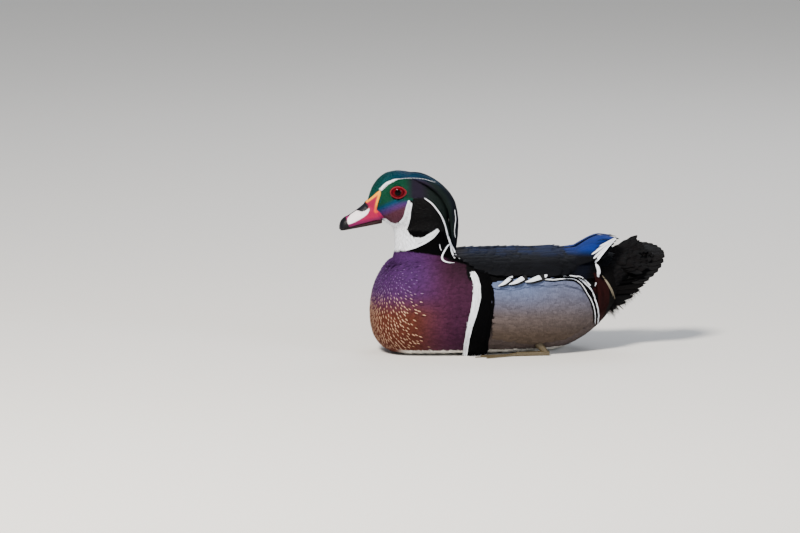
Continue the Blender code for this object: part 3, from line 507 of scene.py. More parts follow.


# Plumage skin: matt, in the colours of the coat that covers it, painted darker with a grain as shade under the
# feathers.
skin_material = new_material("skin under the feathers")
skin_tint = add_node(skin_material, "ShaderNodeAttribute", attribute_name="tint")
skin_grain = add_node(skin_material, "ShaderNodeTexNoise", {"Scale": 420.0, "Detail": 4.0})
# Painted shade: the coat's colours are darkened to between 45 and 85 per cent, darkest where the grain is low.
skin_painted_shade = add_node(skin_material, "ShaderNodeMapRange", {"Value": skin_grain.outputs["Fac"],
                      "To Min": 0.45, "To Max": 0.85})
skin_colour = add_node(skin_material, "ShaderNodeVectorMath", {0: skin_tint.outputs["Color"],
                       1: skin_painted_shade.outputs[0]}, operation="MULTIPLY")
skin_bump = add_node(skin_material, "ShaderNodeBump", {"Height": skin_grain.outputs["Fac"],
                     "Strength": 0.5, "Distance": 0.0006})
finish_material(skin_material, add_node(skin_material, "ShaderNodeBsdfPrincipled", {
    "Base Color": skin_colour.outputs[0], "Roughness": 0.85, "Specular IOR Level": 0.05, "Normal": skin_bump.outputs[0]}))

set_attributes(skin_mesh, plumage(skin_points, skin_normals))
set_map(skin_mesh, unwrap(skin_points)[corner_points(skin_mesh)])
skin = add_piece("skin", skin_mesh, skin_material)
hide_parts("torso", "neck", "head")

# ---------------------------------------------------------------------------------------------
# Coat: small closed feathers rooted all over the skin. They lie along the body like shingles,
# least on the face, and each has the colour of the place where its tip shows.
# ---------------------------------------------------------------------------------------------
DRAW = np.random.default_rng(11)
BAKE_PATCH = 0.003


def lie(points, normals):
    """Direction that feathers point in: back over the head, down the neck, back along the body."""
    x, y, z = turn_head(points, -1).T
    up = soft_step(96, 128, z) * soft_step(-30, -52, x)
    top = soft_step(136, 158, z) * soft_step(-34, -50, x)
    front = soft_step(-92, -128, x)
    body = np.column_stack([np.ones(len(x)), np.zeros(len(x)), -0.12 - 1.1 * front])
    neck = np.column_stack([np.full(len(x), 0.35), 0 * x, np.full(len(x), -1.0)])
    back = soft_step(-112, -66, x)
    head = np.column_stack([np.ones(len(x)), 0 * x, -0.12 - 1.2 * back])
    way = body * (1 - up)[:, None] + neck * up[:, None]
    way = way * (1 - top)[:, None] + head * top[:, None]
    way = way - normals * (way * normals).sum(1)[:, None]
    return way / np.linalg.norm(way, axis=1)[:, None]


def feather_sizes(points):
    """Spacing, length, width and lift of the feathers at places on the skin."""
    x, y, z = points.T
    head = soft_step(126, 142, z) * soft_step(-34, -44, x)
    neck = soft_step(92, 108, z) * soft_step(-34, -44, x)
    face = head * soft_step(-92, -104, x)
    rump = soft_step(70, 100, x)
    sizes = np.tile([2.15, 9.0, 4.0, 0.85], (len(x), 1))
    belly = soft_step(14, 5, z) * (x > -120)
    for share, goal in ((rump, (2.6, 11.5, 4.4, 1.2)), (belly, (3.4, 11.0, 5.6, 1.1)),
                        (neck, (1.2, 4.8, 1.8, 0.65)), (head, (1.2, 4.6, 1.7, 0.6)),
                        (face, (0.97, 3.0, 1.35, 0.55))):
        sizes = sizes * (1 - share)[:, None] + np.array(goal) * share[:, None]
    # The feathers stand off more where the throat runs out into the breast.
    sizes[:, 3] += 1.2 * np.exp(-((z - 98) / 5) ** 2) * soft_step(-98, -106, x)
    return sizes


def scatter(points, normals, triangles, keep, sizes=feather_sizes):
    """Evenly spaced random places on the skin, closer where the feathers are small."""
    corners = points[triangles]
    areas = np.linalg.norm(np.cross(corners[:, 1] - corners[:, 0], corners[:, 2] - corners[:, 0]), axis=1) / 2
    spacing = sizes(corners.mean(1))[:, 0]
    weight = areas / spacing ** 2 * keep(corners.mean(1))
    count = int(weight.sum() * 3.2)
    chosen = DRAW.choice(len(triangles), count, p=weight / weight.sum())
    first, second = DRAW.random(count), DRAW.random(count)
    flip = first + second > 1
    first, second = np.where(flip, 1 - first, first), np.where(flip, 1 - second, second)
    shares = np.column_stack([1 - first - second, first, second])
    places = (corners[chosen] * shares[:, :, None]).sum(1)
    ways = (normals[triangles[chosen]] * shares[:, :, None]).sum(1)
    ways /= np.linalg.norm(ways, axis=1)[:, None]
    tree = KDTree(count)
    for index, place in enumerate(places):
        tree.insert(place, index)
    tree.balance()
    gone, kept = np.zeros(count, bool), []
    reach = spacing[chosen] * 0.86
    for index in range(count):
        if gone[index]:
            continue
        kept.append(index)
        for _, other, _ in tree.find_range(places[index], reach[index]):
            gone[other] = True
    return places[kept], ways[kept]


def lay_on_skin(roots, ways, lengths, shares, sink, lifts, power=0.8, ground=None):
    """Middle lines of feathers that follow the skin or other ground, and its normals along them."""
    tree, ground_normals, ground_triangles = ground or (skin_tree, skin_normals, skin_triangles)
    middles, normals = np.empty((len(roots), len(shares), 3)), np.empty((len(roots), len(shares), 3))
    here, way = roots.copy(), ways.copy()
    for row, share in enumerate(shares):
        if row:
            here = here + way * (lengths * (share - shares[row - 1]))[:, None]
        hits = [tree.find_nearest(place) for place in here.tolist()]
        here = np.array([hit[0] for hit in hits])
        face = ground_triangles[[hit[2] for hit in hits]]
        normal = ground_normals[face].sum(1)
        normal /= np.linalg.norm(normal, axis=1)[:, None]
        way = way - normal * (way * normal).sum(1)[:, None]
        way /= np.linalg.norm(way, axis=1)[:, None]
        middles[:, row] = here + normal * (-sink + (lifts + sink) * share ** power)[:, None]
        normals[:, row] = normal
    return middles, normals


def vanes(name, middles, normals, halves, thickness, columns, camber=0.18, under=True):
    """A joined mesh of closed feathers, each lofted along its middle line."""
    count, rows = middles.shape[:2]
    along = np.gradient(middles, axis=1)
    along /= np.linalg.norm(along, axis=2)[:, :, None] + 1e-12
    side = np.cross(along, normals)
    side /= np.linalg.norm(side, axis=2)[:, :, None] + 1e-12
    rise = np.cross(side, along)
    places = np.linspace(-1, 1, columns)
    offset = halves[:, :, None] * places
    ring = (middles[:, :, None] + side[:, :, None] * offset[..., None]
            - rise[:, :, None] * (camber * halves[:, :, None] * places ** 2)[..., None])
    across = places
    if under:
        below = middles - rise * np.asarray(thickness)[..., None]
        ring = np.concatenate([ring, below[:, :, None]], axis=2)
        across = np.append(places, 0.0)
    around = len(across)
    single_quads, _ = tube_faces(rows, around, False)
    steps = np.arange(1, around - 1)
    base = (rows - 1) * around
    zero = np.zeros(len(steps), int)
    single_ends = np.concatenate([np.stack([zero, steps + 1, steps], -1),
                                  np.stack([zero + base, steps + base, steps + 1 + base], -1)])
    offsets = (np.arange(count) * rows * around)[:, None, None]
    ring[..., 2] = np.maximum(ring[..., 2], 0.1)
    mesh = mesh_from(name, ring.reshape(-1, 3), (single_quads[None] + offsets).reshape(-1, 4),
                     (single_ends[None] + offsets).reshape(-1, 3))
    # The faces shade like the surface they lie on, so that the webs look thin and soft.
    facing = rise[:, :, None] + normals[:, :, None] + side[:, :, None] * (0.5 * places)[:, None]
    if under:
        facing = np.concatenate([facing, -2 * rise[:, :, None]], axis=2)
    facing /= np.linalg.norm(facing, axis=3)[..., None]
    mesh.normals_split_custom_set_from_vertices(facing.reshape(-1, 3).tolist())
    length = np.concatenate([np.zeros((count, 1)), np.cumsum(
        np.linalg.norm(np.diff(middles, axis=1), axis=2), axis=1)], axis=1)
    vane = np.empty((count, rows, around, 3))
    vane[..., 0] = across
    vane[..., 1] = length[:, :, None]
    vane[..., 2] = DRAW.random(count)[:, None, None]
    return mesh, vane


def patch_map(mesh, vane, centres, size=BAKE_PATCH):
    """Each feather as a small patch at its root's place on the unwrap."""
    reach = vane[:, -1:, :1, 1:2]
    spread = np.stack([vane[..., 0], 2 * vane[..., 1] / reach[..., 0] - 1], -1) * size / 2
    flat = (np.clip(centres, size, 1 - size)[:, None, None] + spread).reshape(-1, 2)
    set_map(mesh, flat[corner_points(mesh)])


def width_along(shares, root, widest, tip):
    """Half width of a feather along its length, as a share of its full width."""
    return np.interp(shares, [0, widest * 0.5, widest, widest + (1 - widest) * 0.6, 1],
                     [root / 2, 0.25 + root / 4 + 0.1, 0.5, 0.42, tip / 2])


def covered(points, normals, nodes, reach):
    """Whether a solid of the nodes lies over each place, within the reach."""
    found = np.zeros(len(points), bool)
    for node in nodes:
        corners, _, faces = mesh_arrays(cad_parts[node].data)
        tree = BVHTree.FromPolygons(corners.tolist(), faces.tolist())
        for index, (place, way) in enumerate(zip(points.tolist(), normals.tolist())):
            if not found[index]:
                found[index] = tree.ray_cast(place, way, reach)[0] is not None
    return found


def in_eye(points, margin):
    """Whether places lie in the opening of the lids, on either side of the head."""
    level = turn_head(points, -1)
    margin = np.where(level[:, 0] > EYE_MIDDLE[0] + 2, -0.6, margin)
    wide = (level[:, 0] - EYE_MIDDLE[0]) / (LID_LENGTH / 2 + margin)
    high = (level[:, 2] - EYE_MIDDLE[1]) / (LID_HEIGHT / 2 + margin)
    return (wide ** 2 + high ** 2 < 1) & (np.abs(level[:, 1]) > 8)


EYE_MIDDLE = (-114.0, 175.2)
LID_LENGTH, LID_HEIGHT = 16.4, 13.3

roots, root_ways = scatter(skin_points, skin_normals, skin_triangles, lambda places: places[:, 2] > 0.9)
bare = in_eye(roots, 0.9) | covered(roots, root_ways, ("bill_upper", "bill_lower"), 9.0)
under_wing = covered(roots, root_ways, ("wing_left", "wing_right", "flank_left", "flank_right"), 30.0)
edge_of_wing = covered(roots + lie(roots, root_ways) * 7.0, root_ways,
                       ("wing_left", "wing_right", "flank_left", "flank_right"), 30.0)
keep = ~bare & ~(under_wing & edge_of_wing)
roots, root_ways = roots[keep], root_ways[keep]
sizes = feather_sizes(roots)
ways = lie(roots, root_ways)
sideways = np.cross(root_ways, ways)
swing = DRAW.normal(0, 0.10, len(roots))[:, None]
ways = ways * np.cos(swing) + sideways * np.sin(swing)

head_barbs = barb_material("head feathers, glossy barbules", 0.42, 0.18, 0.5, 0.9)
neck_barbs = barb_material("neck feathers, soft matt webs", 0.75, 0.03, 0.0, 0.9)
body_barbs = barb_material("contour feathers, soft webs", 0.75, 0.06, 0.0, 1.3)

HEAD_HEIGHT, NECK_HEIGHT = 136.0, 100.0
on_neck = (roots[:, 0] < -38) & (roots[:, 2] > NECK_HEIGHT) & (roots[:, 2] <= HEAD_HEIGHT)
on_head = (roots[:, 0] < -38) & (roots[:, 2] > HEAD_HEIGHT)
on_body = ~on_neck & ~on_head
SHORT, LONG = (0, 0.55, 1.0), (0, 0.5, 0.76, 0.88, 1.0)
regions = [
    ("face", on_head & (roots[:, 0] < -100), SHORT, head_barbs, "head_feathers"),
    ("crown", on_head & (roots[:, 0] >= -100), SHORT, head_barbs, "head_feathers"),
    ("neck", on_neck, (0, 0.5, 1.0), neck_barbs, "black_feathers"),
    ("breast", on_body & (roots[:, 0] < -92), LONG, body_barbs, "body_feathers"),
    ("shoulder", on_body & (roots[:, 0] >= -92) & (roots[:, 0] < -44), LONG, body_barbs, "body_feathers"),
    ("side", on_body & (roots[:, 0] >= -44) & (roots[:, 0] < 60), (0, 0.5, 0.8, 1.0), body_barbs,
     "body_feathers"),
    ("rump", on_body & (roots[:, 0] >= 60), (0, 0.4, 0.75, 1.0), body_barbs, "black_feathers")]
groups = [("coat_%s_%s" % (name, label), part & (roots[:, 1] < 0 if label == "left" else roots[:, 1] >= 0),
           *rest) for name, part, *rest in regions for label in ("left", "right")]
for name, part, shares, material, slot in groups:
    shares = np.array(shares)
    _, lengths, widths, lifts = sizes[part].T
    lengths = lengths * DRAW.uniform(0.86, 1.14, len(lengths))
    lifts = lifts * DRAW.uniform(0.8, 1.2, len(lifts))
    middles, normals = lay_on_skin(roots[part], ways[part], lengths, shares, 0.4, lifts)
    steady = (normals[:, 0] * normals[:, -1]).sum(1) > 0.55
    middles, normals, widths, lifts = middles[steady], normals[steady], widths[steady], lifts[steady]
    halves = widths[:, None] * width_along(shares, 0.6, 0.62, 0.42)
    mesh, vane = vanes(name, middles, normals, halves, 0.2 * lifts[:, None], 3)
    points = np.empty(len(mesh.vertices) * 3, np.float32)
    mesh.vertices.foreach_get("co", points)
    tint = plumage(points.reshape(-1, 3).astype(float) / MM, np.repeat(normals.reshape(-1, 3), 4, axis=0))
    set_attributes(mesh, tint.reshape(-1, 3), vane.reshape(-1, 3))
    patch_map(mesh, vane, unwrap(middles[:, 0]))
    add_piece(name, mesh, material)



# ---------------------------------------------------------------------------------------------
# White lines of the head: brow, crescent edge and nape lines, each of thin white feathers laid
# one over the next along the line, on both sides of the head.
# ---------------------------------------------------------------------------------------------
surfaces = [skin_tree]


def add_surface(item):
    """Let later pieces be laid on this one too."""
    points, _, triangles = mesh_arrays(item.data)
    surfaces.append(BVHTree.FromPolygons(points.tolist(), triangles.tolist()))


def on_side(line, lift=0.0, mirror=False):
    """Points over the left side at places of the side view plane, or over the right side, and the ways out."""
    flip = np.array([1, -1 if mirror else 1, 1])
    look = LOOK * flip
    found, outs = [], []
    for across, up in np.asarray(line, float)[:, :2]:
        start = (ACROSS * across + UPRIGHT * up) * flip - look * 400
        hits = [tree.ray_cast(start.tolist(), look.tolist()) for tree in surfaces]
        hits = [hit for hit in hits if hit[0] is not None and hit[3] < 480]
        if hits:
            hit = min(hits, key=lambda one: one[3])
            found.append(np.array(hit[0]))
            outs.append(np.array(hit[1]))
        elif found:
            depth = found[-1] @ look
            found.append(start + look * (depth - start @ look))
            outs.append(outs[-1])
        else:
            found.append(start + look * 380)
            outs.append(-look)
    found, outs = np.array(found), np.array(outs)
    outs[(outs @ look) > 0] *= -1
    depths = found @ look
    for _ in range(8):
        outs[1:-1] = (outs[:-2] + outs[1:-1] * 2 + outs[2:]) / 4
        depths[1:-1] = np.minimum(depths[1:-1], (depths[:-2] + depths[2:]) / 2 + 0.2)
    found = found + look * (depths - found @ look)[:, None]
    outs /= np.linalg.norm(outs, axis=1)[:, None]
    return found + outs * np.broadcast_to(lift, len(found))[:, None], outs


def mirrored(points):
    """The same points on the bird's right side."""
    level = turn_head(points.reshape(-1, 3), -1)
    level[:, 1] *= -1
    return turn_head(level).reshape(points.shape)


def even_steps(line, count, start=0.0, end=1.0):
    """Points by even lengths along a smooth curve through a line's points."""
    path = smooth_curve(line, 300)
    run = np.concatenate([[0], np.cumsum(np.linalg.norm(np.diff(path[:, :2], axis=0), axis=1))])
    at = np.linspace(start, end, count) * run[-1]
    return np.column_stack([np.interp(at, run, path[:, part]) for part in range(path.shape[1])])


def plant(name, middles, normals, halves, thickness, columns, shade, material, camber=0.18,
          patch=BAKE_PATCH):
    """A piece of closed feathers; shade gives the colour at points, by their place on each vane."""
    mesh, vane = vanes(name, middles, normals, halves, thickness, columns, camber)
    points = np.empty(len(mesh.vertices) * 3, np.float32)
    mesh.vertices.foreach_get("co", points)
    reach = np.maximum(vane[:, -1:, :, 1], 1e-6)
    tint = shade(points.reshape(-1, 3).astype(float) / MM, vane.reshape(-1, 3),
                 (vane[..., 1] / reach).ravel())
    set_attributes(mesh, tint, vane.reshape(-1, 3))
    patch_map(mesh, vane, unwrap(middles[:, 0]), patch)
    return add_piece(name, mesh, material)


def laid_lines(lines, rows, lift, root_lift=0.3, own_right=False):
    """Middle lines and normals of feathers along lines of the side view plane, on both sides."""
    rise = root_lift + (lift - root_lift) * np.linspace(0, 1, rows) ** 0.6
    lines = [even_steps(line, rows) if len(line) != rows else line for line in lines]
    pairs = [on_side(line, rise) for line in lines]
    middles, normals = (np.array([pair[part] for pair in pairs]) for part in (0, 1))
    if own_right:
        pairs = [on_side(line, rise, True) for line in lines]
        right, right_normals = (np.array([pair[part] for pair in pairs]) for part in (0, 1))
    else:
        right = mirrored(middles)
        right_normals = mirrored(middles + normals) - right
    return np.concatenate([middles, right]), np.concatenate([normals, right_normals])


def line_feathers(line, widths, length, spacing, vane, drift=0.5):
    """Short thin feathers that overlap along a line and fill its width, and their half widths."""
    path = np.column_stack([smooth_curve(line, 200), np.interp(
        np.linspace(0, len(line) - 1, 200), np.arange(len(line)), widths)])
    total = np.linalg.norm(np.diff(path[:, :2], axis=0), axis=1).sum()
    pieces, halves = [], []
    for start in np.arange(-length * 0.3, total - length * 0.5, spacing):
        piece = even_steps(path, 9, max(start, 0) / total, min((start + length) / total, 1))
        way = np.gradient(piece[:, :2], axis=0)
        way /= np.linalg.norm(way, axis=1)[:, None]
        room = np.maximum(piece[:, 2:3] - vane, 0)
        side = np.column_stack([-way[:, 1], way[:, 0]]) * DRAW.uniform(-drift, drift) * room
        pieces.append(piece[:, :2] + side)
        halves.append(np.minimum(piece[:, 2], vane) / 2 * np.array([0.75, 0.95, 1, 1, 1, 0.95, 0.8, 0.5, 0.12]))
    return pieces, halves


def mix(first, second, share):
    share = np.asarray(share, float)
    share = share[:, None] if share.ndim == 1 else share
    return first * (1 - share) + second * share


def one_colour(colour):
    return lambda points, vane, share: np.tile(colour, (len(points), 1))


STRAND_A = [(-60.7, 111.3), (-64.3, 104.3), (-66.2, 98.3), (-64.7, 94.2), (-59.2, 91.8), (-52.3, 91.3)]
STRAND_B = [(-57.8, 112.4), (-56.3, 104.3), (-52.3, 96.3), (-50.8, 94.8)]
STRAND_C = [(-55.2, 108.3), (-51.2, 100.3), (-45.8, 95.3)]
CREST_LINE = [(-52.3, 150.2), (-51.2, 140.2), (-52.3, 128.2), (-51.5, 120.2)]
NECK_FLECK = [(-68.6, 113.5), (-67.9, 109.5), (-66.6, 106.0)]

# ---------------------------------------------------------------------------------------------
# Eyes: glossy balls with a dark red iris round a black pupil, set in the sockets of the head.
# A ring of bare orange red lid skin, pointed at the hind corner, closes over each ball.
# ---------------------------------------------------------------------------------------------
EYE_DEPTH = 13.0
EYE_RADIUS = 8.4
PUPIL_RADIUS = 3.4
IRIS_RADIUS = 7.8
EYE_COLOURS = [(0.0, "040404"), (PUPIL_RADIUS - 0.25, "060304"), (PUPIL_RADIUS + 0.15, "3E0408"),
               (PUPIL_RADIUS + 1.0, "56060F"), (6.0, "520A16"), (7.1, "3A060E"), (IRIS_RADIUS, "1A0406"),
               (9.0, "100304")]
LID_WIDTH = 0.75
LID_PLACE = 18.4


def face_out(mesh):
    """Turn a closed mesh's faces outward."""
    body = bmesh.new()
    body.from_mesh(mesh)
    bmesh.ops.recalc_face_normals(body, faces=body.faces)
    body.to_mesh(mesh)
    body.free()
    mesh.shade_smooth()


def paint_rings(radii, stops):
    """Colour at each radius from (radius, hex colour) stops."""
    places = [stop[0] for stop in stops]
    colours = np.array([linear(stop[1]) for stop in stops])
    return np.column_stack([np.interp(radii, places, colours[:, part]) for part in range(3)])


def horn_material(name, roughness, coat, grain_scale, grain_depth, soft=0.0, gloss=0.5):
    """Smooth horn or wet skin: tint from the surface, faint grain, a clear gloss."""
    material = new_material(name)
    tint = add_node(material, "ShaderNodeAttribute", attribute_name="tint")
    grain = add_node(material, "ShaderNodeTexNoise", {"Scale": grain_scale, "Detail": 5.0})
    shade = add_node(material, "ShaderNodeMapRange", {"Value": grain.outputs["Fac"], "From Min": 0.3,
                     "From Max": 0.7, "To Min": 0.86, "To Max": 1.08})
    colour = add_node(material, "ShaderNodeVectorMath", {0: tint.outputs["Color"], 1: shade.outputs[0]},
                      operation="MULTIPLY")
    bump = add_node(material, "ShaderNodeBump", {"Height": grain.outputs["Fac"], "Strength": grain_depth,
                    "Distance": 0.0003})
    return finish_material(material, add_node(material, "ShaderNodeBsdfPrincipled", {
        "Base Color": colour.outputs[0], "Roughness": roughness, "Coat Weight": coat,
        "Specular IOR Level": gloss,
        "Coat Roughness": 0.04, "Subsurface Weight": soft, "Subsurface Scale": 0.002,
        "Normal": bump.outputs[0]}))


eye_gloss = horn_material("wet eye, clear cornea over red iris", 0.04, 0.0, 900.0, 0.02, 0.0, 0.05)
lid_skin = horn_material("bare lid skin, finely wrinkled", 0.5, 0.03, 1500.0, 0.5, 0.0, 0.2)


def make_eye(name, side, node):
    tilts = np.concatenate([[0.6], np.linspace(4, 60, 26), np.linspace(66, 174, 12)])
    turns = np.linspace(0, 2 * math.pi, 40, endpoint=False)
    rings = []
    for tilt in np.radians(tilts):
        bulge = 1 + 0.03 * math.exp(-(tilt / 0.5) ** 2)
        rings.append(np.column_stack([
            EYE_MIDDLE[0] + EYE_RADIUS * math.sin(tilt) * np.cos(turns),
            np.full(40, side * (EYE_DEPTH + EYE_RADIUS * bulge * math.cos(tilt))),
            EYE_MIDDLE[1] + EYE_RADIUS * math.sin(tilt) * np.sin(turns) * -side]))
    rings = np.array(rings)
    radii = EYE_RADIUS * np.sin(np.radians(np.minimum(tilts, 90)))
    streak = 1 + 0.10 * np.sin(turns * 17 + 0.6 * np.sin(turns * 5))
    tint = paint_rings(radii, EYE_COLOURS)[:, None] * streak[None, :, None]
    flat = np.concatenate([tint.reshape(-1, 3), tint[:1, 0], tint[-1:, 0]])
    points = np.concatenate([rings.reshape(-1, 3), [rings[0].mean(0)], [rings[-1].mean(0)]])
    mesh = mesh_from(name, turn_head(points), *tube_faces(len(tilts), 40))
    face_out(mesh)
    set_attributes(mesh, flat)
    eye = add_piece(name, mesh, eye_gloss)
    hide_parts(node)


def make_lid(name, side):
    """A soft ring of skin with a finer inner rim, and a fold above and below the hind corner."""
    points, tint = [], []
    around, sides = 72, 12
    for step in range(around):
        angle = 2 * math.pi * step / around
        corner = 1 + 0.13 * max(math.cos(angle), 0) ** 8 + 0.04 * max(-math.cos(angle), 0) ** 8
        out = np.array([math.cos(angle), 0, math.sin(angle)])
        middle = np.array([EYE_MIDDLE[0] + (LID_LENGTH / 2 - LID_WIDTH) * corner * out[0], 0,
                           EYE_MIDDLE[1] + (LID_HEIGHT / 2 - LID_WIDTH) * out[2]])
        width = LID_WIDTH * (1 + 0.12 * math.sin(angle * 9) * abs(math.sin(angle)) + 0.7 * max(math.cos(angle), 0) ** 10)
        sink = 0.9 * abs(math.cos(angle)) ** 3
        for part in range(sides):
            turn = 2 * math.pi * part / sides
            spread, depth = width * math.cos(turn), LID_PLACE - sink + 1.9 * math.sin(turn)
            points.append(middle + out * spread + np.array([0, side * depth, 0]))
            inner = 0.5 - 0.5 * math.cos(turn)
            tint.append(linear("8C0A22") * (1 - inner) + linear("46060E") * inner)
    quads, _ = tube_faces(around + 1, sides, False)
    quads = quads % (around * sides)
    mesh = mesh_from(name, turn_head(np.array(points)), quads)
    face_out(mesh)
    set_attributes(mesh, np.array(tint))
    add_piece(name, mesh, lid_skin)


for label, side in (("left", -1), ("right", 1)):
    make_eye("eyeball_" + label, side, "eye_" + label)
    make_lid("lid_" + label, side)

# ---------------------------------------------------------------------------------------------
# Bill: horn over bone in two halves, arched above and dished below, with a hooked black nail.
# Its base is bare skin that runs back over the cheek in a point, edged in yellow.
# ---------------------------------------------------------------------------------------------
# Upper half: place along X, height of the ridge above the mouth, half width
BILL_ROWS = [(-177.4, 3.4, 2.4), (-175.7, 8.0, 5.6), (-171.9, 10.9, 7.6), (-164.9, 13.2, 8.6),
             (-156.9, 16.8, 8.9), (-148.9, 21.4, 9.5), (-141.9, 25.0, 10.6), (-134.9, 23.0, 12.0),
             (-127.9, 15.0, 10.0)]
LOWER_ROWS = [(-176.2, 1.6), (-172.9, 2.8), (-162.9, 4.0), (-147.9, 5.6), (-130.9, 7.0)]
MOUTH = (-177.4, 133.2, 0.275)
NOSTRIL = (-155.9, 151.0)
NOSTRIL_HALVES = (3.0, 1.5)
BASE_EDGE = [(-148.2, 157.8), (-144.0, 161.4), (-139.0, 166.0), (-132.6, 170.9), (-131.6, 167.0),
             (-134.4, 157.5), (-135.8, 149.6), (-133.8, 144.6), (-130.4, 140.6)]
WHITE_PATCH = [(-167.4, 140.8), (-162.4, 146.8), (-156.0, 150.0), (-150.0, 150.4), (-144.4, 150.9), (-145.6, 146.4),
               (-151.1, 141.8), (-162.1, 136.0), (-167.4, 135.2)]
RIDGE_PATCH = [(-163.0, 153.0), (-157.4, 156.6), (-150.0, 161.0), (-147.3, 157.6), (-144.4, 154.4),
               (-146.8, 149.6), (-151.5, 148.0), (-157.5, 149.6)]
YELLOW_LINE = [(-146.4, 160.2), (-139.2, 165.4), (-132.9, 169.9), (-133.2, 164.0), (-135.4, 155.8),
               (-136.6, 149.0)]
NAIL_EDGE = -167.6


def mouth_height(place):
    return MOUTH[1] + MOUTH[2] * (place - MOUTH[0])


def bill_tint(points):
    """Black nail and ridge, white side patch, pink edge, red base and a yellow hind rim."""
    across, up = side_view(points)
    share = soft_step(-168, -140, across)[:, None]
    tint = linear("842058") * (1 - share) + linear("8C0838") * share
    level = turn_head(points, -1)
    tint = mix(tint, linear("560A3A"), 0.85 * soft_step(5.0, 1.0, level[:, 2] - mouth_height(level[:, 0])))
    edge, spot = distance_to(across, up, YELLOW_LINE)
    tint = mix(tint, linear("D8480A"), 0.8 * soft_step(3.2, 1.4, edge))
    tint = mix(tint, linear("F09800"), soft_step(2.6, 1.3, edge) * soft_step(5.0, 3.4, spot))
    rim = distance_to(across, up, smooth_curve(WHITE_PATCH + WHITE_PATCH[:1], 60))[0]
    within = inside(across, up, smooth_curve(WHITE_PATCH + WHITE_PATCH[:1], 60))
    white = np.where(within, soft_step(-0.4, 0.3, rim), soft_step(0.4, -0.3, rim))[:, None]
    tint = tint * (1 - white) + linear("F1E8EC") * white
    ridge = np.maximum(inside(across, up, RIDGE_PATCH),
                       (np.abs(turn_head(points, -1)[:, 1]) < 2.6) & (across < -147)).astype(float)[:, None]
    tint = tint * (1 - ridge) + linear("101018") * ridge
    nail = soft_step(NAIL_EDGE + 0.9, NAIL_EDGE - 0.5, across + 0.35 * (up - 137))[:, None]
    return tint * (1 - nail) + linear("08090E") * nail


bill_horn = horn_material("bill horn, smooth and waxy", 0.36, 0.05, 380.0, 0.25, 0.0, 0.18)


def make_bill_half(name, node, rows, build_ring, colour):
    rings = np.array([build_ring(row) for row in rows])
    points = np.concatenate([rings.reshape(-1, 3), [rings[0].mean(0)], [rings[-1].mean(0)]])
    points = turn_head(points)
    mesh = mesh_from(name, points, *tube_faces(len(rings), rings.shape[1]))
    face_out(mesh)
    set_attributes(mesh, colour(points))
    piece = add_piece(name, mesh, bill_horn)
    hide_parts(node)
    return piece


def upper_ring(row):
    place, rise, half = row
    low = mouth_height(place)
    turns = np.radians(np.linspace(-104, 104, 91))
    side = np.sin(turns)
    up = np.maximum(np.cos(turns), 0)
    ring = np.column_stack([np.full(91, place), half * np.sign(side) * np.abs(side) ** 1.04,
                            low + rise * up ** 1.05])
    lip = np.maximum(-np.cos(turns), 0)
    ring[:, 2] -= 1.6 * lip
    ring[:, 1] *= 1 - 0.5 * lip
    dent = ((ring[:, 0] - NOSTRIL[0]) / NOSTRIL_HALVES[0]) ** 2 + ((ring[:, 2] - NOSTRIL[1]) / NOSTRIL_HALVES[1]) ** 2
    ring[:, 1] *= 1 - 0.26 * np.exp(-dent ** 2)
    nail = soft_step(-168.5, -171.5, place)
    ring[:, 2] += 0.5 * nail * np.maximum(1 - np.abs(ring[:, 1]) / 4.5, 0)
    return ring


def lower_ring(row):
    place, depth, half = row
    low = mouth_height(place) - 0.5
    turns = np.radians(np.linspace(-90, 90, 25))
    dish = 0.35 * depth * np.exp(-(turns / 0.5) ** 2)
    return np.column_stack([np.full(25, place), -0.9 * half * np.sin(turns),
                            low - (depth - dish) * np.abs(np.cos(turns)) ** 0.8])


bill_places = np.concatenate([np.linspace(-177.4, -172, 14), np.linspace(-171.6, -128, 130)])
bill_rows = [(place, *(np.interp(place, *np.array(smooth_curve(BILL_ROWS, 120))[:, [0, part]].T)
                       for part in (1, 2))) for place in bill_places]
bill_upper = make_bill_half("bill_upper_horn", "bill_upper", bill_rows, upper_ring, bill_tint)
lower_places = np.linspace(-176.2, -130.9, 40)
lower_curve = smooth_curve(LOWER_ROWS, 80)
half_curve = smooth_curve(BILL_ROWS, 120)
lower_rows = [(place, np.interp(place, lower_curve[:, 0], lower_curve[:, 1]),
               np.interp(place, half_curve[:, 0], half_curve[:, 2])) for place in lower_places]


def lower_tint(points):
    across, up = side_view(points)
    share = soft_step(-172, -150, across)[:, None]
    return linear("0D0C10") * (1 - share) + linear("2A1216") * share


make_bill_half("bill_lower_horn", "bill_lower", lower_rows, lower_ring, lower_tint)


add_surface(bill_upper)


def make_base(name, mirror):
    """The bare skin at the bill's root: a thin pad over the head, thickest at its middle."""
    outline = smooth_curve(BASE_EDGE, 60)
    front = np.column_stack([np.linspace(-149.6, -141.0, 60), np.linspace(157.0, 138.4, 60)])
    outer, inner = [], []
    for share in np.linspace(0, 1, 14):
        lift = np.interp(share, [0, 0.08, 0.3, 0.85, 0.94, 1], [-0.3, 0.4, 0.5, 1.15, 1.0, 0.45])
        top, out = on_side(front + (outline - front) * share, lift)
        outer.append(top)
        inner.append(top - out * (lift + 0.6))
    sheet = np.array(outer + inner[::-1])
    if mirror:
        sheet = mirrored(sheet)
    count = len(sheet)
    quads, _ = tube_faces(60, count, False)
    points = sheet.transpose(1, 0, 2).reshape(-1, 3)
    ends = np.array([[0, step + 1, step] for step in range(1, count - 1)])
    last = 59 * count
    faces = np.concatenate([ends, [[last, last + step, last + step + 1] for step in range(1, count - 1)]])
    mesh = mesh_from(name, points, quads, faces)
    face_out(mesh)
    set_attributes(mesh, bill_tint(points))
    add_piece(name, mesh, bill_horn)


make_base("bill_base_left", False)
make_base("bill_base_right", True)

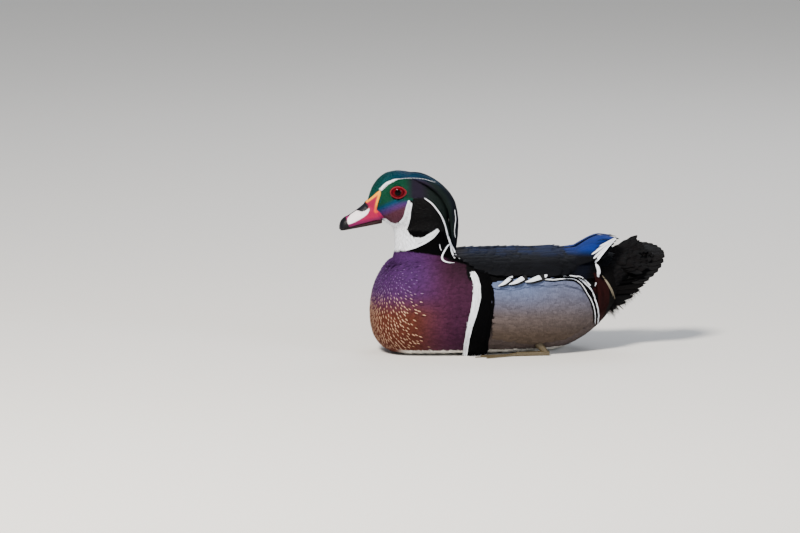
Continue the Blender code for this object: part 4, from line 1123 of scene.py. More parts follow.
# ---------------------------------------------------------------------------------------------
# Crest: long narrow feathers of crown and nape that fall back over the neck in layers, over a
# dark core. They shine bronze green at the sides, and thin white ones edge them.
# ---------------------------------------------------------------------------------------------
CREST_OUTER = [(-106.9, 197.0), (-86.9, 193.0), (-66.9, 181.0), (-53.9, 166.0), (-48.9, 148.0),
               (-48.4, 130.0), (-49.9, 111.5)]
CREST_INNER = [(-94.9, 184.0), (-80.9, 178.0), (-69.9, 168.0), (-63.9, 155.0), (-61.4, 142.0),
               (-59.9, 128.0), (-57.4, 114.5)]
CREST_HALF_WIDTHS = [14.0, 19.0, 18.5, 16.0, 13.0, 9.5, 5.0]
CREST_STRANDS = 1700
BROW_TAIL = [(-140.0, 184.2), (-95.3, 184.2), (-85.0, 183.0), (-73.1, 179.6), (-60.0, 170.0), (-50.0, 158.0)]
CREST_REACH = math.radians(112)

crest_outer, crest_inner = smooth_curve(CREST_OUTER, 200), smooth_curve(CREST_INNER, 200)
crest_halves = smooth_curve(np.array(CREST_HALF_WIDTHS)[:, None], 200)[:, 0]


def crest_at(share, angle, reach):
    """Points of the crest by share of its fall, angle from its outer edge and share of its width."""
    at = np.clip(share, 0, 1) * 199
    low = np.minimum(at.astype(int), 198)
    part = at - low
    outer, inner = (line[low] * (1 - part)[..., None] + line[low + 1] * part[..., None]
                    for line in (crest_outer, crest_inner))
    half = crest_halves[low] * (1 - part) + crest_halves[low + 1] * part
    past = np.maximum(share - 1, 0)[..., None] * np.array([1.0, -95.0])
    flat = (outer + inner) / 2 + (outer - inner) / 2 * (np.cos(angle) * reach)[..., None] + past
    y = half * np.sin(angle) * np.minimum(1.15 * reach, 1)
    points = np.stack([flat[..., 0], y, flat[..., 1]], -1)
    return turn_head(points.reshape(-1, 3)).reshape(points.shape)


def crest_shade(points, vane, share):
    """Teal as the crown above, bronze green and purple at the side, black down the hind edge."""
    across, up = side_view(points)
    hind = at_line([(100, -49), (130, -46.5), (150, -48), (166, -53.6), (181, -66), (193, -86), (197, -104)], up)
    inward = soft_step(0, 24, hind - across)
    tint = mix(np.tile(linear("0A0F18"), (len(points), 1)), CREST_BRONZE, soft_step(0.03, 0.35, inward))
    tint = mix(tint, TEMPLE_PURPLE, soft_step(0.5, 0.95, inward) * soft_step(132, 150, up))
    crown = crown_colour(across)
    tint = mix(tint, crown, soft_step(-3, 3, up - at_line(BROW_TAIL, across)) * soft_step(-56, -74, across))
    return mix(tint, linear("06070F"), 0.6 * soft_step(128, 104, up))


crest_barbs = barb_material("crest feathers, long glossy barbs", 0.46, 0.12, 0.45, 0.8)
core_rings = [crest_at(np.full(24, share), np.linspace(0, 2 * math.pi, 24, endpoint=False),
                       np.full(24, min(0.55 + 1.4 * (share - 0.1), 0.84 - 0.30 * share)))
              for share in np.linspace(0.1, 1.04, 24)]
core_mesh = closed_tube("crest_core", core_rings)
set_attributes(core_mesh, np.tile(linear("0C1216"), (len(core_mesh.vertices), 1)))
set_map(core_mesh, unwrap(mesh_arrays(core_mesh)[0])[corner_points(core_mesh)])
crest_core = add_piece("crest_core", core_mesh, skin_material)
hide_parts("crest")

count = CREST_STRANDS
parts = np.array([0, 0.12, 0.26, 0.42, 0.58, 0.74, 0.88, 1.0])
starts = DRAW.uniform(-0.01, 0.80, count)
angles = CREST_REACH * (DRAW.random(count) * 2 - 1)
ends = np.minimum(starts + DRAW.uniform(0.24, 0.40, count), 1.11 - 0.03 * np.abs(angles) - 0.07 * DRAW.random(count))
turns = angles[:, None] + DRAW.normal(0, 0.035, count)[:, None] * parts
places = starts[:, None] + (ends - starts)[:, None] * parts
surface = crest_at(places, turns, np.ones(places.shape))
outs = surface - crest_at(places, turns, np.full(places.shape, 0.3))
outs /= np.linalg.norm(outs, axis=2)[:, :, None]
layer = 1.6 * (starts / 0.80)[:, None] + DRAW.uniform(0, 1.0, count)[:, None]
bury = layer + (1.9 + 1.4 * soft_step(0.22, 0.0, starts))[:, None] * (1 - parts) ** 2.0 - 0.5 * parts
bury += (DRAW.uniform(0.4, 3.4, count) * soft_step(math.radians(66), math.radians(100), np.abs(angles)))[:, None]
bury += (DRAW.uniform(0, 3.6, count) * soft_step(0.26, 0.05, starts))[:, None] * (1 - parts)
halves = 1.35 * DRAW.uniform(0.8, 1.2, count)[:, None] * np.interp(parts, [0, 0.3, 0.7, 1], [0.6, 1.0, 0.72, 0.10])
strands = plant("crest_strands", surface - outs * bury[..., None], outs, halves,
                np.full((count, len(parts)), 0.35), 3, crest_shade, crest_barbs, 0.25)
add_surface(crest_core)
add_surface(strands)

white_barbs = barb_material("white feathers, clean loose webs", 0.65, 0.2, 0.0, 0.9)
laid, widths = [], []
for line, sizes_, length, spacing, vane in (
        (BROW_LINE[:4], [2.4, 2.8, 1.5, 0.4], 3.8, 0.17, 0.6),
        (BROW_LINE[3:], [0.4, 0.4, 0.3, 0.3], 2.4, 3.2, 0.4),
        (NAPE_LINE, [0.9, 1.7, 1.9, 1.8, 1.8, 2.0, 2.4], 11.0, 0.9, 0.8),
        (CREST_LINE, [0.5, 0.8, 0.8, 0.4], 11.0, 1.8, 0.5),
        (NECK_FLECK, [0.8, 1.1, 0.5], 4.0, 1.2, 0.6),
        (CRESCENT_TOP[1:], [2.2, 2.4, 2.6, 2.0], 4.4, 0.14, 0.65),
        ([(-71.0, 128.0), (-78.0, 121.6), (-86.4, 116.8), (-96.0, 114.0)],
         [1.4, 2.2, 2.4, 2.0], 4.4, 0.16, 0.65),
        ([(-69.0, 128.0), (-75.6, 120.6), (-84.8, 114.6), (-94.2, 110.2), (-105.0, 107.0)],
         [1.6, 2.4, 2.8, 2.8, 2.6], 4.4, 0.12, 0.65),
        (CHEEK_BAR_FRONT, [2.0, 2.6, 2.6, 2.6], 3.8, 0.18, 0.65),
        (CHEEK_BAR_HIND, [2.0, 2.6, 2.6, 2.6], 3.8, 0.18, 0.65)):
    pieces, sizes_ = line_feathers(line, sizes_, length, spacing, vane)
    laid += pieces
    widths += sizes_
middles, normals = laid_lines(laid, 9, 0.95)
halves = np.concatenate([widths, widths])
plant("white_lines", middles, normals, halves, np.full(halves.shape, 0.2), 3, one_colour(WHITE),
      white_barbs)

# The ends of the nape line hang free of the crest as a few long curved feathers.
loose, loose_widths = [], []
for line, width in ((STRAND_A, 1.5), (STRAND_B, 1.7), (STRAND_C, 1.5)):
    for drift in (-0.9, -0.45, 0.0, 0.45, 0.9):
        shape = np.array(line) + np.array([drift * 0.55, drift * 0.30])
        shape = np.concatenate([[np.array(NAPE_LINE[-2]) + drift * 0.35, np.array(NAPE_LINE[-1]) + drift * 0.4],
                                shape])
        loose.append(even_steps(shape, 16, 0, DRAW.uniform(0.90, 1.0)))
        loose_widths.append(width / 3.2 * np.interp(np.linspace(0, 1, 16), [0, 0.3, 0.8, 1], [0.9, 1, 0.75, 0.12]))
middles, normals = laid_lines(loose, 16, 2.4, 1.2)
halves = np.concatenate([loose_widths, loose_widths])
plant("loose_white_strands", middles, normals, halves, np.full(halves.shape, 0.35), 3, one_colour(WHITE),
      white_barbs)

# Flecks: the pale tips of breast feathers, small and narrow, thickest low at the front.
def fleck_sizes(points):
    return np.tile([3.3, 3.6, 1.3, 1.35], (len(points), 1))


def fleck_shade(points, vane, share):
    """Lilac high on the breast, warm white over the chestnut."""
    _, up = side_view(points)
    return mix(np.tile(linear("725886"), (len(points), 1)), linear("BC9478"), soft_step(66, 42, up))


roots, root_ways = scatter(skin_points, skin_normals, skin_triangles,
                           lambda places: (places[:, 0] < -62) & (places[:, 2] > 9) & (places[:, 2] < 100), fleck_sizes)
across, up = side_view(roots)
keep = DRAW.random(len(roots)) < soft_step(-78, -116, across) * (0.35 + 0.65 * soft_step(98, 76, up))
roots, root_ways, up = roots[keep], root_ways[keep], up[keep]
shares = np.linspace(0, 1, 5)
growth = (0.7 + 0.5 * soft_step(80, 50, up)) * DRAW.uniform(0.75, 1.15, len(roots))
middles, normals = lay_on_skin(roots, lie(roots, root_ways), 3.0 * growth, shares, -0.7, np.full(len(roots), 1.35))
halves = 0.45 * growth[:, None] * np.array([0.35, 0.85, 1.0, 0.7, 0.1])
plant("breast_flecks", middles, normals, halves, np.full(halves.shape, 0.2), 3, fleck_shade, white_barbs,
      0.2)

# ---------------------------------------------------------------------------------------------
# Side bars: a white bar and a broad black one run down between breast and flank. Their narrow
# feathers point down along the bars, so that the edges are clean.
# ---------------------------------------------------------------------------------------------
BAR_COLUMNS, BLACK_COLUMNS = 7, 13
BAR_TOP, BAR_LOW = 81.0, -4.0


def bar_lines(front, hind, columns, length, spacing, top, margin):
    """Short lines that run down between two edges, column by column."""
    lines = []
    for share in np.linspace(margin, 1 - margin, columns):
        for start in np.arange(top, BAR_LOW + length * 0.5, -spacing):
            begin = start + DRAW.uniform(-1, 1) * spacing
            ups = np.linspace(begin, begin - length * DRAW.uniform(0.85, 1.15), 7)
            nudge = DRAW.uniform(-0.03, 0.03)
            across = [at_line(front, up) * (1 - share - nudge) + at_line(hind, up) * (share + nudge) for up in ups]
            lines.append(np.column_stack([across, ups]))
    return lines


soft_barbs = barb_material("bar feathers, soft webs", 0.75, 0.03, 0.0, 1.0)
bar_shape = np.interp(np.linspace(0, 1, 7), [0, 0.3, 0.75, 1], [0.6, 1.0, 0.8, 0.15])
for name, lines, width, colour in (
        ("black_bar", bar_lines(BAR_HIND, BLACK_HIND, BLACK_COLUMNS, 10.0, 3.6, BAR_TOP + 8, 0.03), 2.7,
         HEAD_BLACK),
        ("white_bar", bar_lines(BAR_FRONT, BAR_HIND, BAR_COLUMNS, 10.0, 2.6, BAR_TOP, 0.07), 1.7, WHITE)):
    middles, normals = laid_lines(lines, 7, 2.1, 1.7)
    halves = width / 2 * np.tile(bar_shape, (len(middles), 1)) * DRAW.uniform(0.85, 1.15, len(middles))[:, None]
    add_surface(plant(name, middles, normals, halves, np.full(halves.shape, 0.3), 3, one_colour(colour),
                      soft_barbs, 0.2))

# ---------------------------------------------------------------------------------------------
# Wings: folded over the back, black with a blue shine. Scapulars and coverts lie like tiles over
# the roots of blue tertials, white tipped secondaries and dark primaries.
# ---------------------------------------------------------------------------------------------
BODY_ROWS = [(-144.9, 49.0, 36.0, 9.0), (-143.4, 61.0, 25.0, 20.0), (-139.9, 74.0, 15.0, 31.0),
             (-133.9, 87.0, 7.0, 41.5), (-125.9, 97.0, 1.0, 49.5), (-114.9, 104.0, -4.0, 56.0),
             (-94.9, 108.0, -7.0, 61.0), (-62.9, 109.0, -8.0, 64.5), (-22.9, 109.0, -8.0, 66.0),
             (17.1, 108.5, -7.0, 65.5), (49.1, 106.0, -3.0, 60.5), (75.1, 103.0, 6.0, 51.0),
             (95.1, 101.0, 18.0, 40.5), (111.1, 99.0, 33.0, 30.0), (122.1, 96.0, 50.0, 20.0),
             (128.1, 91.0, 64.0, 10.0)]
BODY_ROUNDNESS = 2.25
WING_REACH = (-52.9, 83.1)
WING_EDGE = [(-52.9, 24.0), (-32.9, 46.0), (-2.9, 53.0), (37.1, 53.0), (63.1, 46.0), (83.1, 30.0)]
WING_BULK = [(-52.9, 1.6), (17.1, 2.0), (41.1, 2.4), (55.1, 5.6), (69.1, 4.6), (83.1, 3.0)]
# Black and blue of the webs; the blue also serves as a painted sheen on the back, and the grey is only a painted sheen.
WING_BLACK, WING_BLUE, WING_BRIGHT, WING_SHEEN_GREY = (
    linear(shade) for shade in ("06070B", "06183E", "07256C", "0A1226"))
FAN_STRIPS = [[(104.2, 110.2), (113.0, 114.9), (120.4, 119.2)], [(100.4, 105.8), (110.0, 111.6), (120.8, 118.9)],
              [(95.8, 101.6), (107.0, 108.9), (121.2, 118.6)], [(97.4, 97.2), (106.0, 105.2), (121.4, 118.3)],
              [(98.8, 92.6), (105.0, 100.6), (112.6, 109.2), (121.6, 117.9)]]
FAN_HALVES = [0.9, 0.95, 1.05, 1.3, 1.4]
BLUE_EDGE = [(50.0, 104.0), (63.0, 103.0), (80.0, 101.4), (97.0, 101.0), (104.0, 103.0), (120.0, 112.0)]
FAN_EDGE = [(60.0, 97.5), (92.0, 99.0), (104.0, 108.4), (118.0, 121.0), (130.0, 128.0)]
HIND_PATCH = [(99.2, 91.0), (101.8, 85.6), (101.4, 78.6), (97.6, 67.6)]

body_curve = smooth_curve(BODY_ROWS, 400)


def body_at(places, turns):
    """Points of the body by place along it and turn in degrees from its ridge, the left above 0."""
    places, turns = np.broadcast_arrays(np.asarray(places, float), np.radians(turns))
    top, low, half = (np.interp(places, body_curve[:, 0], body_curve[:, part]) for part in (1, 2, 3))
    side, up = np.sin(turns), np.cos(turns)
    side, up = (np.sign(part) * np.abs(part) ** (2 / BODY_ROUNDNESS) for part in (side, up))
    return np.stack([places, -half * side, np.maximum((top + low) / 2 + up * (top - low) / 2, 0)], -1)


def body_out(places, turns):
    """The way out of the body there."""
    along = body_at(places + 0.5, turns) - body_at(places - 0.5, turns)
    around = body_at(places, turns + 0.5) - body_at(places, turns - 0.5)
    out = np.cross(around, along)
    return out / np.linalg.norm(out, axis=-1)[..., None]


def over_body(starts, ends, lifts, rows, side, power=1.0, halves=None, hump=None):
    """Middle lines of feathers from one place and turn to another, rising off the body."""
    share = 1 - (1 - np.linspace(0, 1, rows)) ** 1.15
    starts, ends, lifts = (np.asarray(item, float) for item in (starts, ends, lifts))
    places = starts[:, :1] + (ends[:, :1] - starts[:, :1]) * share
    turns = side * (starts[:, 1:] + (ends[:, 1:] - starts[:, 1:]) * share)
    normals = body_out(places, turns)
    rise = lifts[:, :1] + (lifts[:, 1:] - lifts[:, :1]) * (share ** power if hump is None else soft_step(*hump, share))
    middles = body_at(places, turns) + normals * rise[..., None]
    if halves is not None:
        room = halves * np.hypot(normals[..., 1], normals[..., 2]) + 0.4
        middles[..., 1] = -side * np.maximum(-side * middles[..., 1], room * np.abs(normals[..., 2]))
    return middles, normals


def body_shell(name, reach, edges, bulk, side, rows=40, across=16):
    """A low closed bed over the body that the feathers of a wing or flank grow from."""
    rings = []
    for place in np.linspace(*reach, rows):
        turns = side * np.linspace(at_line(edges[0], place), at_line(edges[1], place), across)
        rounding = 1 - np.abs(np.linspace(-1, 1, across)) ** 6
        base, out = body_at(np.full(across, place), turns), body_out(np.full(across, place), turns)
        end = min(1, min(place - reach[0], reach[1] - place) / 6 + 0.15)
        rise = (at_line(bulk, place) - 0.7) * rounding * end
        rings.append(np.concatenate([base + out * rise[:, None], (base - out * 2.2)[::-1]]))
    mesh = closed_tube(name, rings)
    face_out(mesh)
    return mesh


def quill_halves(widths, rows, root=0.5, widest=0.5, tip=0.34):
    """Half widths of broad feathers with a rounded end."""
    share = np.linspace(0, 1, rows)
    body = np.interp(share, [0, widest, 0.86, 1], [root / 2, 0.5, 0.44, tip / 2])
    body *= np.sqrt(np.clip((1.02 - share) / 0.16, 0, 1))
    return np.asarray(widths, float).reshape(-1, 1) * body


def covert_shade(points, vane, share):
    """Black webs, with a painted blue sheen toward the ridge of the back and painted grey sheen streaks on the feather
    edges high on the back, greyer at the shoulder.
    """
    across, up = side_view(points)
    # Painted sheen: blue along the ridge of the back, varying per feather, and pale grey streaks on the feather edges
    # high on the back.
    blue = soft_step(97, 109, up) * soft_step(-56, -20, across) * (0.15 + 0.85 * vane[:, 2])
    streak = 0.5 + 0.5 * np.sin(9 * vane[:, 2] + 3.0 * vane[:, 0])
    tint = mix(np.tile(WING_BLACK, (len(points), 1)), WING_BLUE, 0.8 * blue)
    tint = mix(tint, WING_SHEEN_GREY, 0.45 * streak * soft_step(88, 104, up) * soft_step(40, -10, across)
               * soft_step(0.55, 1.0, np.abs(vane[:, 0])) * soft_step(0.3, 0.8, share))
    tint = mix(tint, linear("181618"), soft_step(-30, -58, across) * 0.8)
    return mix(tint, WING_BLACK * 0.5, soft_step(0.93, 1.0, share) * 0.6)


def tertial_shade(points, vane, share):
    """Blue webs with a bright upper half and a black lower edge and base."""
    across, up = side_view(points)
    upper = soft_step(-2.0, 3.0, up - at_line(BLUE_EDGE, across))
    bright = soft_step(1.0, 8.0, up - at_line(BLUE_EDGE, across))
    tint = mix(np.tile(WING_BLACK, (len(points), 1)), WING_BLUE, upper)
    tint = mix(tint, WING_BRIGHT, 0.95 * bright * soft_step(0.15, 0.5, share))
    tint = mix(tint, WING_BLACK, soft_step(-1.0, 1.0, across - at_line(FAN_EDGE, up)))
    return mix(tint, WING_BLACK * 0.6, soft_step(0.78, 0.96, np.abs(vane[:, 0])) * 0.85)


def secondary_shade(points, vane, share):
    tint = mix(np.tile(WING_BLACK, (len(points), 1)), WING_BLUE, 0.08 * soft_step(0.2, 0.6, share))
    return mix(tint, WING_BLACK * 0.6, soft_step(0.60, 0.80, share))


def primary_shade(points, vane, share):
    return mix(np.tile(WING_BLACK, (len(points), 1)), linear("4A5058"), 0.5 * soft_step(0.2, 0.9, -vane[:, 0]))


wing_barbs = barb_material("wing coverts, close black webs", 0.55, 0.06, 0.1, 1.1)
quill_barbs = barb_material("flight feathers, stiff blue shining webs", 0.55, 0.05, 0.15, 1.0)
bed_material = skin_material

for label, side in (("left", 1), ("right", -1)):
    bed = body_shell("wing_bed_" + label, WING_REACH,
                     ([(WING_REACH[0], 2.0), (WING_REACH[1], 2.0)], WING_EDGE), WING_BULK, side)
    set_attributes(bed, np.tile(WING_BLACK, (len(bed.vertices), 1)))
    set_map(bed, unwrap(mesh_arrays(bed)[0])[corner_points(bed)])
    bed = add_piece("wing_bed_" + label, bed, bed_material)
    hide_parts("wing_" + label)
    add_surface(bed)

    starts, ends, lifts, widths = [], [], [], []
    for place in np.arange(WING_REACH[0] - 3, 66, 6.2):
        growth = soft_step(-56, 20, place)
        edge = at_line(WING_EDGE, place + 6)
        for turn in np.arange(3.0, edge - 3.0, 5.4):
            here = place + DRAW.uniform(-2.4, 2.4)
            length = (17 + 19 * growth) * DRAW.uniform(0.9, 1.1)
            if here + length > 99:
                continue
            high = at_line(WING_BULK, here) - 0.6
            end_high = at_line(WING_BULK, here + length) + 0.7 + DRAW.uniform(0, 0.7)
            limit = at_line(WING_EDGE, min(here + length, 83)) + 4
            starts.append((here, turn + DRAW.uniform(-1.2, 1.2)))
            ends.append((here + length, min(starts[-1][1] + 2.5 * (turn / edge), limit)))
            lifts.append((high, end_high))
            widths.append((8.5 + 6.5 * growth) * DRAW.uniform(0.9, 1.1))
    halves = quill_halves(widths, 9)
    middles, normals = over_body(starts, ends, lifts, 9, side, halves=halves)
    coverts = plant("wing_coverts_" + label, middles, normals, halves, np.full(halves.shape, 0.4), 7,
                    covert_shade, wing_barbs, 0.2)
    add_surface(coverts)

    share = np.linspace(0, 1, 6)
    halves = quill_halves(18.5 - 3.5 * share, 26, 0.55, 0.55, 0.5)
    middles, normals = over_body(np.column_stack([51.1 - 3 * share, 11 + 25 * share]),
                                 np.column_stack([118.4 - 12 * share, 9.5 + 25 * share]),
                                 np.column_stack([4.6 - 3 * share, 23.8 - 8.4 * share]), 26, side, 1.0, halves, (0.22, 0.8))
    tertials = plant("tertials_" + label, middles, normals, halves, np.full(halves.shape, 0.5), 15,
                     tertial_shade, quill_barbs, 0.16, 0.012)
    add_surface(tertials)

    share = np.linspace(0, 1, 5)
    halves = quill_halves(15.0 - 2.0 * share, 20, 0.6, 0.6, 0.75)
    middles, normals = over_body(np.column_stack([46.1 - 2 * share, 9 + 30 * share]),
                                 np.column_stack([85.4 + 9 * share, 9.0 + 31 * share]),
                                 np.column_stack([3.4 - 1 * share, 11.4 - 5.0 * share]), 20, side, 1.5, halves)
    humps = plant("blue_scapulars_" + label, middles, normals, halves, np.full(halves.shape, 0.5), 13,
                  tertial_shade, quill_barbs, 0.24, 0.012)
    add_surface(humps)

    share = np.linspace(0, 1, 8)
    halves = quill_halves(np.full(8, 12.0), 24, 0.5, 0.6, 0.6)
    middles, normals = over_body(np.column_stack([57.1 - 6 * share, 33 + 14 * share]),
                                 np.column_stack([104.6 - 8 * share, 31 + 25 * share]),
                                 np.column_stack([3.4 - 2.4 * share, 12.6 - 8.4 * share]), 24, side, 1.1, halves)
    secondaries = plant("secondaries_" + label, middles, normals, halves, np.full(halves.shape, 0.5), 11,
                        secondary_shade, quill_barbs, 0.14, 0.012)
    add_surface(secondaries)

    share = np.linspace(0, 1, 5)
    halves = quill_halves(np.full(5, 9.0), 20, 0.6, 0.4, 0.3)
    middles, normals = over_body(np.column_stack([71.1 + 0 * share, 27 + 9 * share]),
                                 np.column_stack([118.1 - 5 * share, 18 + 20 * share]),
                                 np.column_stack([2.4 - 1.8 * share, 8 - 4 * share]), 20, side, 1.0, halves)
    primaries = plant("primaries_" + label, middles, normals, halves, np.full(halves.shape, 0.5), 9,
                      primary_shade, quill_barbs, 0.14, 0.012)
    add_surface(primaries)

# Mantle: one line of feathers down the ridge closes the gap between the two wings.
places = np.arange(-62, 62, 4.5)
starts = np.column_stack([places, DRAW.uniform(-1.6, 1.6, len(places))])
ends = starts + np.column_stack([DRAW.uniform(20, 26, len(places)), np.zeros(len(places))])
lifts = np.column_stack([[at_line(WING_BULK, place) - 1.2 for place in starts[:, 0]],
                         [at_line(WING_BULK, place) + 2.6 for place in ends[:, 0]]])
halves = quill_halves(DRAW.uniform(9.5, 12, len(places)), 9)
middles, normals = over_body(starts, ends, lifts, 9, 1)
add_surface(plant("mantle_ridge", middles, normals, halves, np.full(halves.shape, 0.4), 7, covert_shade,
                  wing_barbs, 0.2))

# ---------------------------------------------------------------------------------------------
# Flanks: the side pockets of soft buff feathers with fine wavy bars. Broad white feathers edged
# in black lap up over the wing, and white and black tips make the curved hind edge.
# ---------------------------------------------------------------------------------------------
FLANK_REACH = (-14.9, 95.1)
FLANK_TOP = [(-14.9, 67.0), (12.1, 63.0), (52.1, 63.0), (77.1, 71.0), (95.1, 90.0)]
FLANK_LOW = [(-14.9, 116.0), (22.1, 124.0), (62.1, 126.0), (95.1, 116.0)]
FLANK_BULK = [(-14.9, 2.0), (95.1, 2.0)]
ARC_OUTER = [(64.5, 78.8), (75.8, 78.4), (82.4, 75.2), (89.4, 69.4), (95.0, 62.9), (99.6, 51.0),
             (102.3, 39.1), (101.8, 28.0)]
ARC_INNER = [(64.0, 75.6), (76.0, 75.0), (84.0, 69.6), (90.4, 60.2), (95.6, 50.4), (98.6, 39.1), (98.6, 28.0)]
# White feathers along the top: middle line on the side view plane, full width
TOP_FEATHERS = [([(-5.5, 67.6), (1.8, 71.0), (9.8, 77.4)], 4.2), ([(6.0, 69.2), (16.0, 72.8), (26.6, 79.0)], 5.0),
                ([(23.4, 71.6), (35.2, 74.8), (46.8, 79.2)], 5.6)]
THIN_FEATHERS = [([(44.6, 74.9), (55.0, 74.6), (67.2, 75.6)], 2.2)]
BAR_END = [(across - 1.0, up) for up, across in BLACK_HIND[:0:-1]] + [(-20.5, 2.0)]
HIND_SPUR = [(76.0, 78.6), (84.6, 77.0), (93.6, 68.4)]


def flank_shade(points, vane, share):
    """Buff webs, painted bluish grey above as sky light and painted darker brown below as shade; white and black lines
    at the hind edge.
    """
    across, up = side_view(points)
    # Painted light: a bluish grey sheen on the upper side and darker brown shade toward the bottom of the flank.
    tint = mix(np.tile(linear("564C4A"), (len(points), 1)), linear("5C6A8C"), soft_step(30, 74, up))
    tint = mix(tint, linear("46392C"), 0.7 * soft_step(34, 12, up))
    tint = mix(tint, linear("645A58"), 0.35 * soft_step(20, 70, across) * soft_step(20, 50, up))
    outer, inner = (distance_to(across, up, line)[0] for line in (ARC_OUTER, ARC_INNER))
    beyond = across > at_line([(up_, x) for x, up_ in ARC_OUTER[::-1]], up)
    between = ~beyond & (across > at_line([(up_, x) for x, up_ in ARC_INNER[::-1]], up)) & (across > 60)
    tint = mix(tint, HEAD_BLACK, (between | beyond & (across > 60)).astype(float))
    near = np.minimum(inner, outer)
    return mix(tint, HEAD_BLACK, soft_step(1.9, 1.3, near) * (across > 60))


def white_shade(points, vane, share):
    """White vane, a little grey toward its edges."""
    tint = mix(np.tile(WHITE, (len(points), 1)), linear("C9D2E2"), 0.5 * soft_step(0.4, 1.0, np.abs(vane[:, 0])))
    return tint


flank_barbs = barb_material("flank feathers, soft webs with fine wavy bars", 0.75, 0.06, 0.0, 1.2, 0.22, 0.0)
for label, side in (("left", 1), ("right", -1)):
    bed = body_shell("flank_bed_" + label, FLANK_REACH, (FLANK_TOP, FLANK_LOW), FLANK_BULK, side)
    bed_points = mesh_arrays(bed)[0]
    set_attributes(bed, flank_shade(bed_points, np.zeros((len(bed_points), 3)), np.zeros(len(bed_points))))
    set_map(bed, unwrap(bed_points)[corner_points(bed)])
    bed = add_piece("flank_bed_" + label, bed, bed_material)
    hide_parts("flank_" + label)
    add_surface(bed)
    starts, ends, lifts, widths = [], [], [], []
    for place in np.arange(FLANK_REACH[0] - 6, 94, 2.5):
        top, low = at_line(FLANK_TOP, place + 6) - 4, at_line(FLANK_LOW, place + 6)
        for turn in np.arange(top, low, 2.7):
            here = place + DRAW.uniform(-1.2, 1.2)
            length = DRAW.uniform(10, 13) * (1 - 0.35 * soft_step(60, 90, place))
            if here + length > 100.5:
                continue
            start_turn = turn + DRAW.uniform(-1.1, 1.1)
            end_top = at_line(FLANK_TOP, here + length) - 1.5
            end_turn = max(start_turn + 1.5, end_top)
            starts.append((here, start_turn))
            ends.append((here + length, end_turn))
            high = 2.6 * soft_step(at_line(FLANK_TOP, here) + 3, at_line(FLANK_TOP, here) - 3, start_turn)
            lifts.append((1.0 + high, 1.6 + DRAW.uniform(0, 0.25) + high))
            widths.append(DRAW.uniform(5.0, 6.2))
    halves = quill_halves(widths, 8, 0.5, 0.5, 0.4)
    middles, normals = over_body(starts, ends, lifts, 8, side)
    add_surface(plant("flank_coat_" + label, middles, normals, halves, np.full(halves.shape, 0.3), 5,
                      flank_shade, flank_barbs, 0.2))

TOP_SHAPE = np.interp(np.linspace(0, 1, 18), [0, 0.3, 0.6, 0.8, 0.9, 0.96, 1.0], [0.12, 0.75, 1.0, 0.9, 0.68, 0.44, 0.1])
for name, extra, shift, lift, shade in (("black_flank_rims", 2.2, (1.0, -0.6), 2.4, one_colour(HEAD_BLACK)),
                                        ("white_flank_edges", 0.0, (0.0, 0.0), 3.2, white_shade)):
    middles, normals = laid_lines([even_steps(np.array(line) + shift, 18) for line, _ in TOP_FEATHERS],
                                  18, lift, lift - 0.8)
    normals = np.repeat(normals[:, 4:12].mean(1)[:, None], 18, axis=1)
    normals /= np.linalg.norm(normals, axis=2)[..., None]
    halves = np.array([(width + extra) / 2 * TOP_SHAPE for _, width in TOP_FEATHERS] * 2)
    plant(name, middles, normals, halves, np.full(halves.shape, 0.3), 13, shade, white_barbs,
          0.1, 0.012)
for name, colour, lift, lines in (
        ("black_hind_edges", HEAD_BLACK, 1.0, ((BAR_END, [3.4] * 7), (ARC_OUTER, [4.2] * 8), (ARC_INNER, [3.4] * 7),
                                              (THIN_FEATHERS[0][0], [3.6, 4.4, 3.6]), (HIND_SPUR, [3.0, 3.6, 3.4]))),
        ("white_hind_edges", WHITE, 1.7, ((ARC_OUTER, [1.2, 1.7, 1.8, 1.8, 1.9, 1.8, 1.7, 1.4]),
                                         (ARC_INNER, [0.6, 0.9, 1.0, 1.0, 1.1, 1.0, 0.8]),
                                         (THIN_FEATHERS[0][0], [1.4, 2.0, 1.2]), (HIND_SPUR, [0.8, 1.4, 2.2])))):
    laid, widths = [], []
    for line, sizes_ in lines:
        pieces, sizes_ = line_feathers(line, sizes_, 8.0, 0.8, 1.2 if name[0] == "b" else 0.8)
        laid += pieces
        widths += sizes_
    middles, normals = laid_lines(laid, 9, lift, 0.4)
    halves = np.concatenate([widths, widths])
    plant(name, middles, normals, halves, np.full(halves.shape, 0.25), 3, one_colour(colour), soft_barbs,
          0.2)

# ---------------------------------------------------------------------------------------------
# Tail: fourteen broad black feathers in a fan that rises and leans, with coverts over and under
# their roots, and long maroon and buff plumes at the side of the rump.
# ---------------------------------------------------------------------------------------------
TAIL_MIDDLE = np.array([111.1, 0.0, 94.5])
TAIL_RISE, TAIL_ROLL, TAIL_SPREAD = (math.radians(angle) for angle in (5.0, 36.0, 37.0))
TAIL_LENGTHS = (66.0, 50.0)
TAIL_PAIRS = 7
# Bed of the tail: place along X, top, bottom, half width
TAIL_BED = [(101.0, 96.0, 42.0, 26.0), (113.0, 98.0, 48.0, 22.0), (125.0, 99.0, 59.0, 17.0),
            (137.0, 100.0, 73.0, 11.0), (149.0, 100.0, 87.0, 5.0)]
tail_ahead = np.array([math.cos(TAIL_RISE), 0, math.sin(TAIL_RISE)])
tail_across = np.array([0, math.cos(TAIL_ROLL), math.sin(TAIL_ROLL)])
tail_up = np.cross(tail_ahead, tail_across)


def fan_lines(angles, starts, lengths, drops, rises, rows):
    """Middle lines of tail feathers by angle from the middle of the fan and drop below it."""
    share = np.linspace(0, 1, rows)
    along = tail_ahead * np.cos(angles)[:, None] + tail_across * np.sin(angles)[:, None]
    roots = TAIL_MIDDLE + along * starts[:, None] - tail_up * drops[:, None]
    middles = roots[:, None] + along[:, None] * (lengths[:, None] * share)[..., None]
    middles = middles + tail_up * (rises[:, None] * np.sin(math.pi * share * 0.6))[..., None]
    return middles, np.broadcast_to(tail_up, middles.shape).copy()


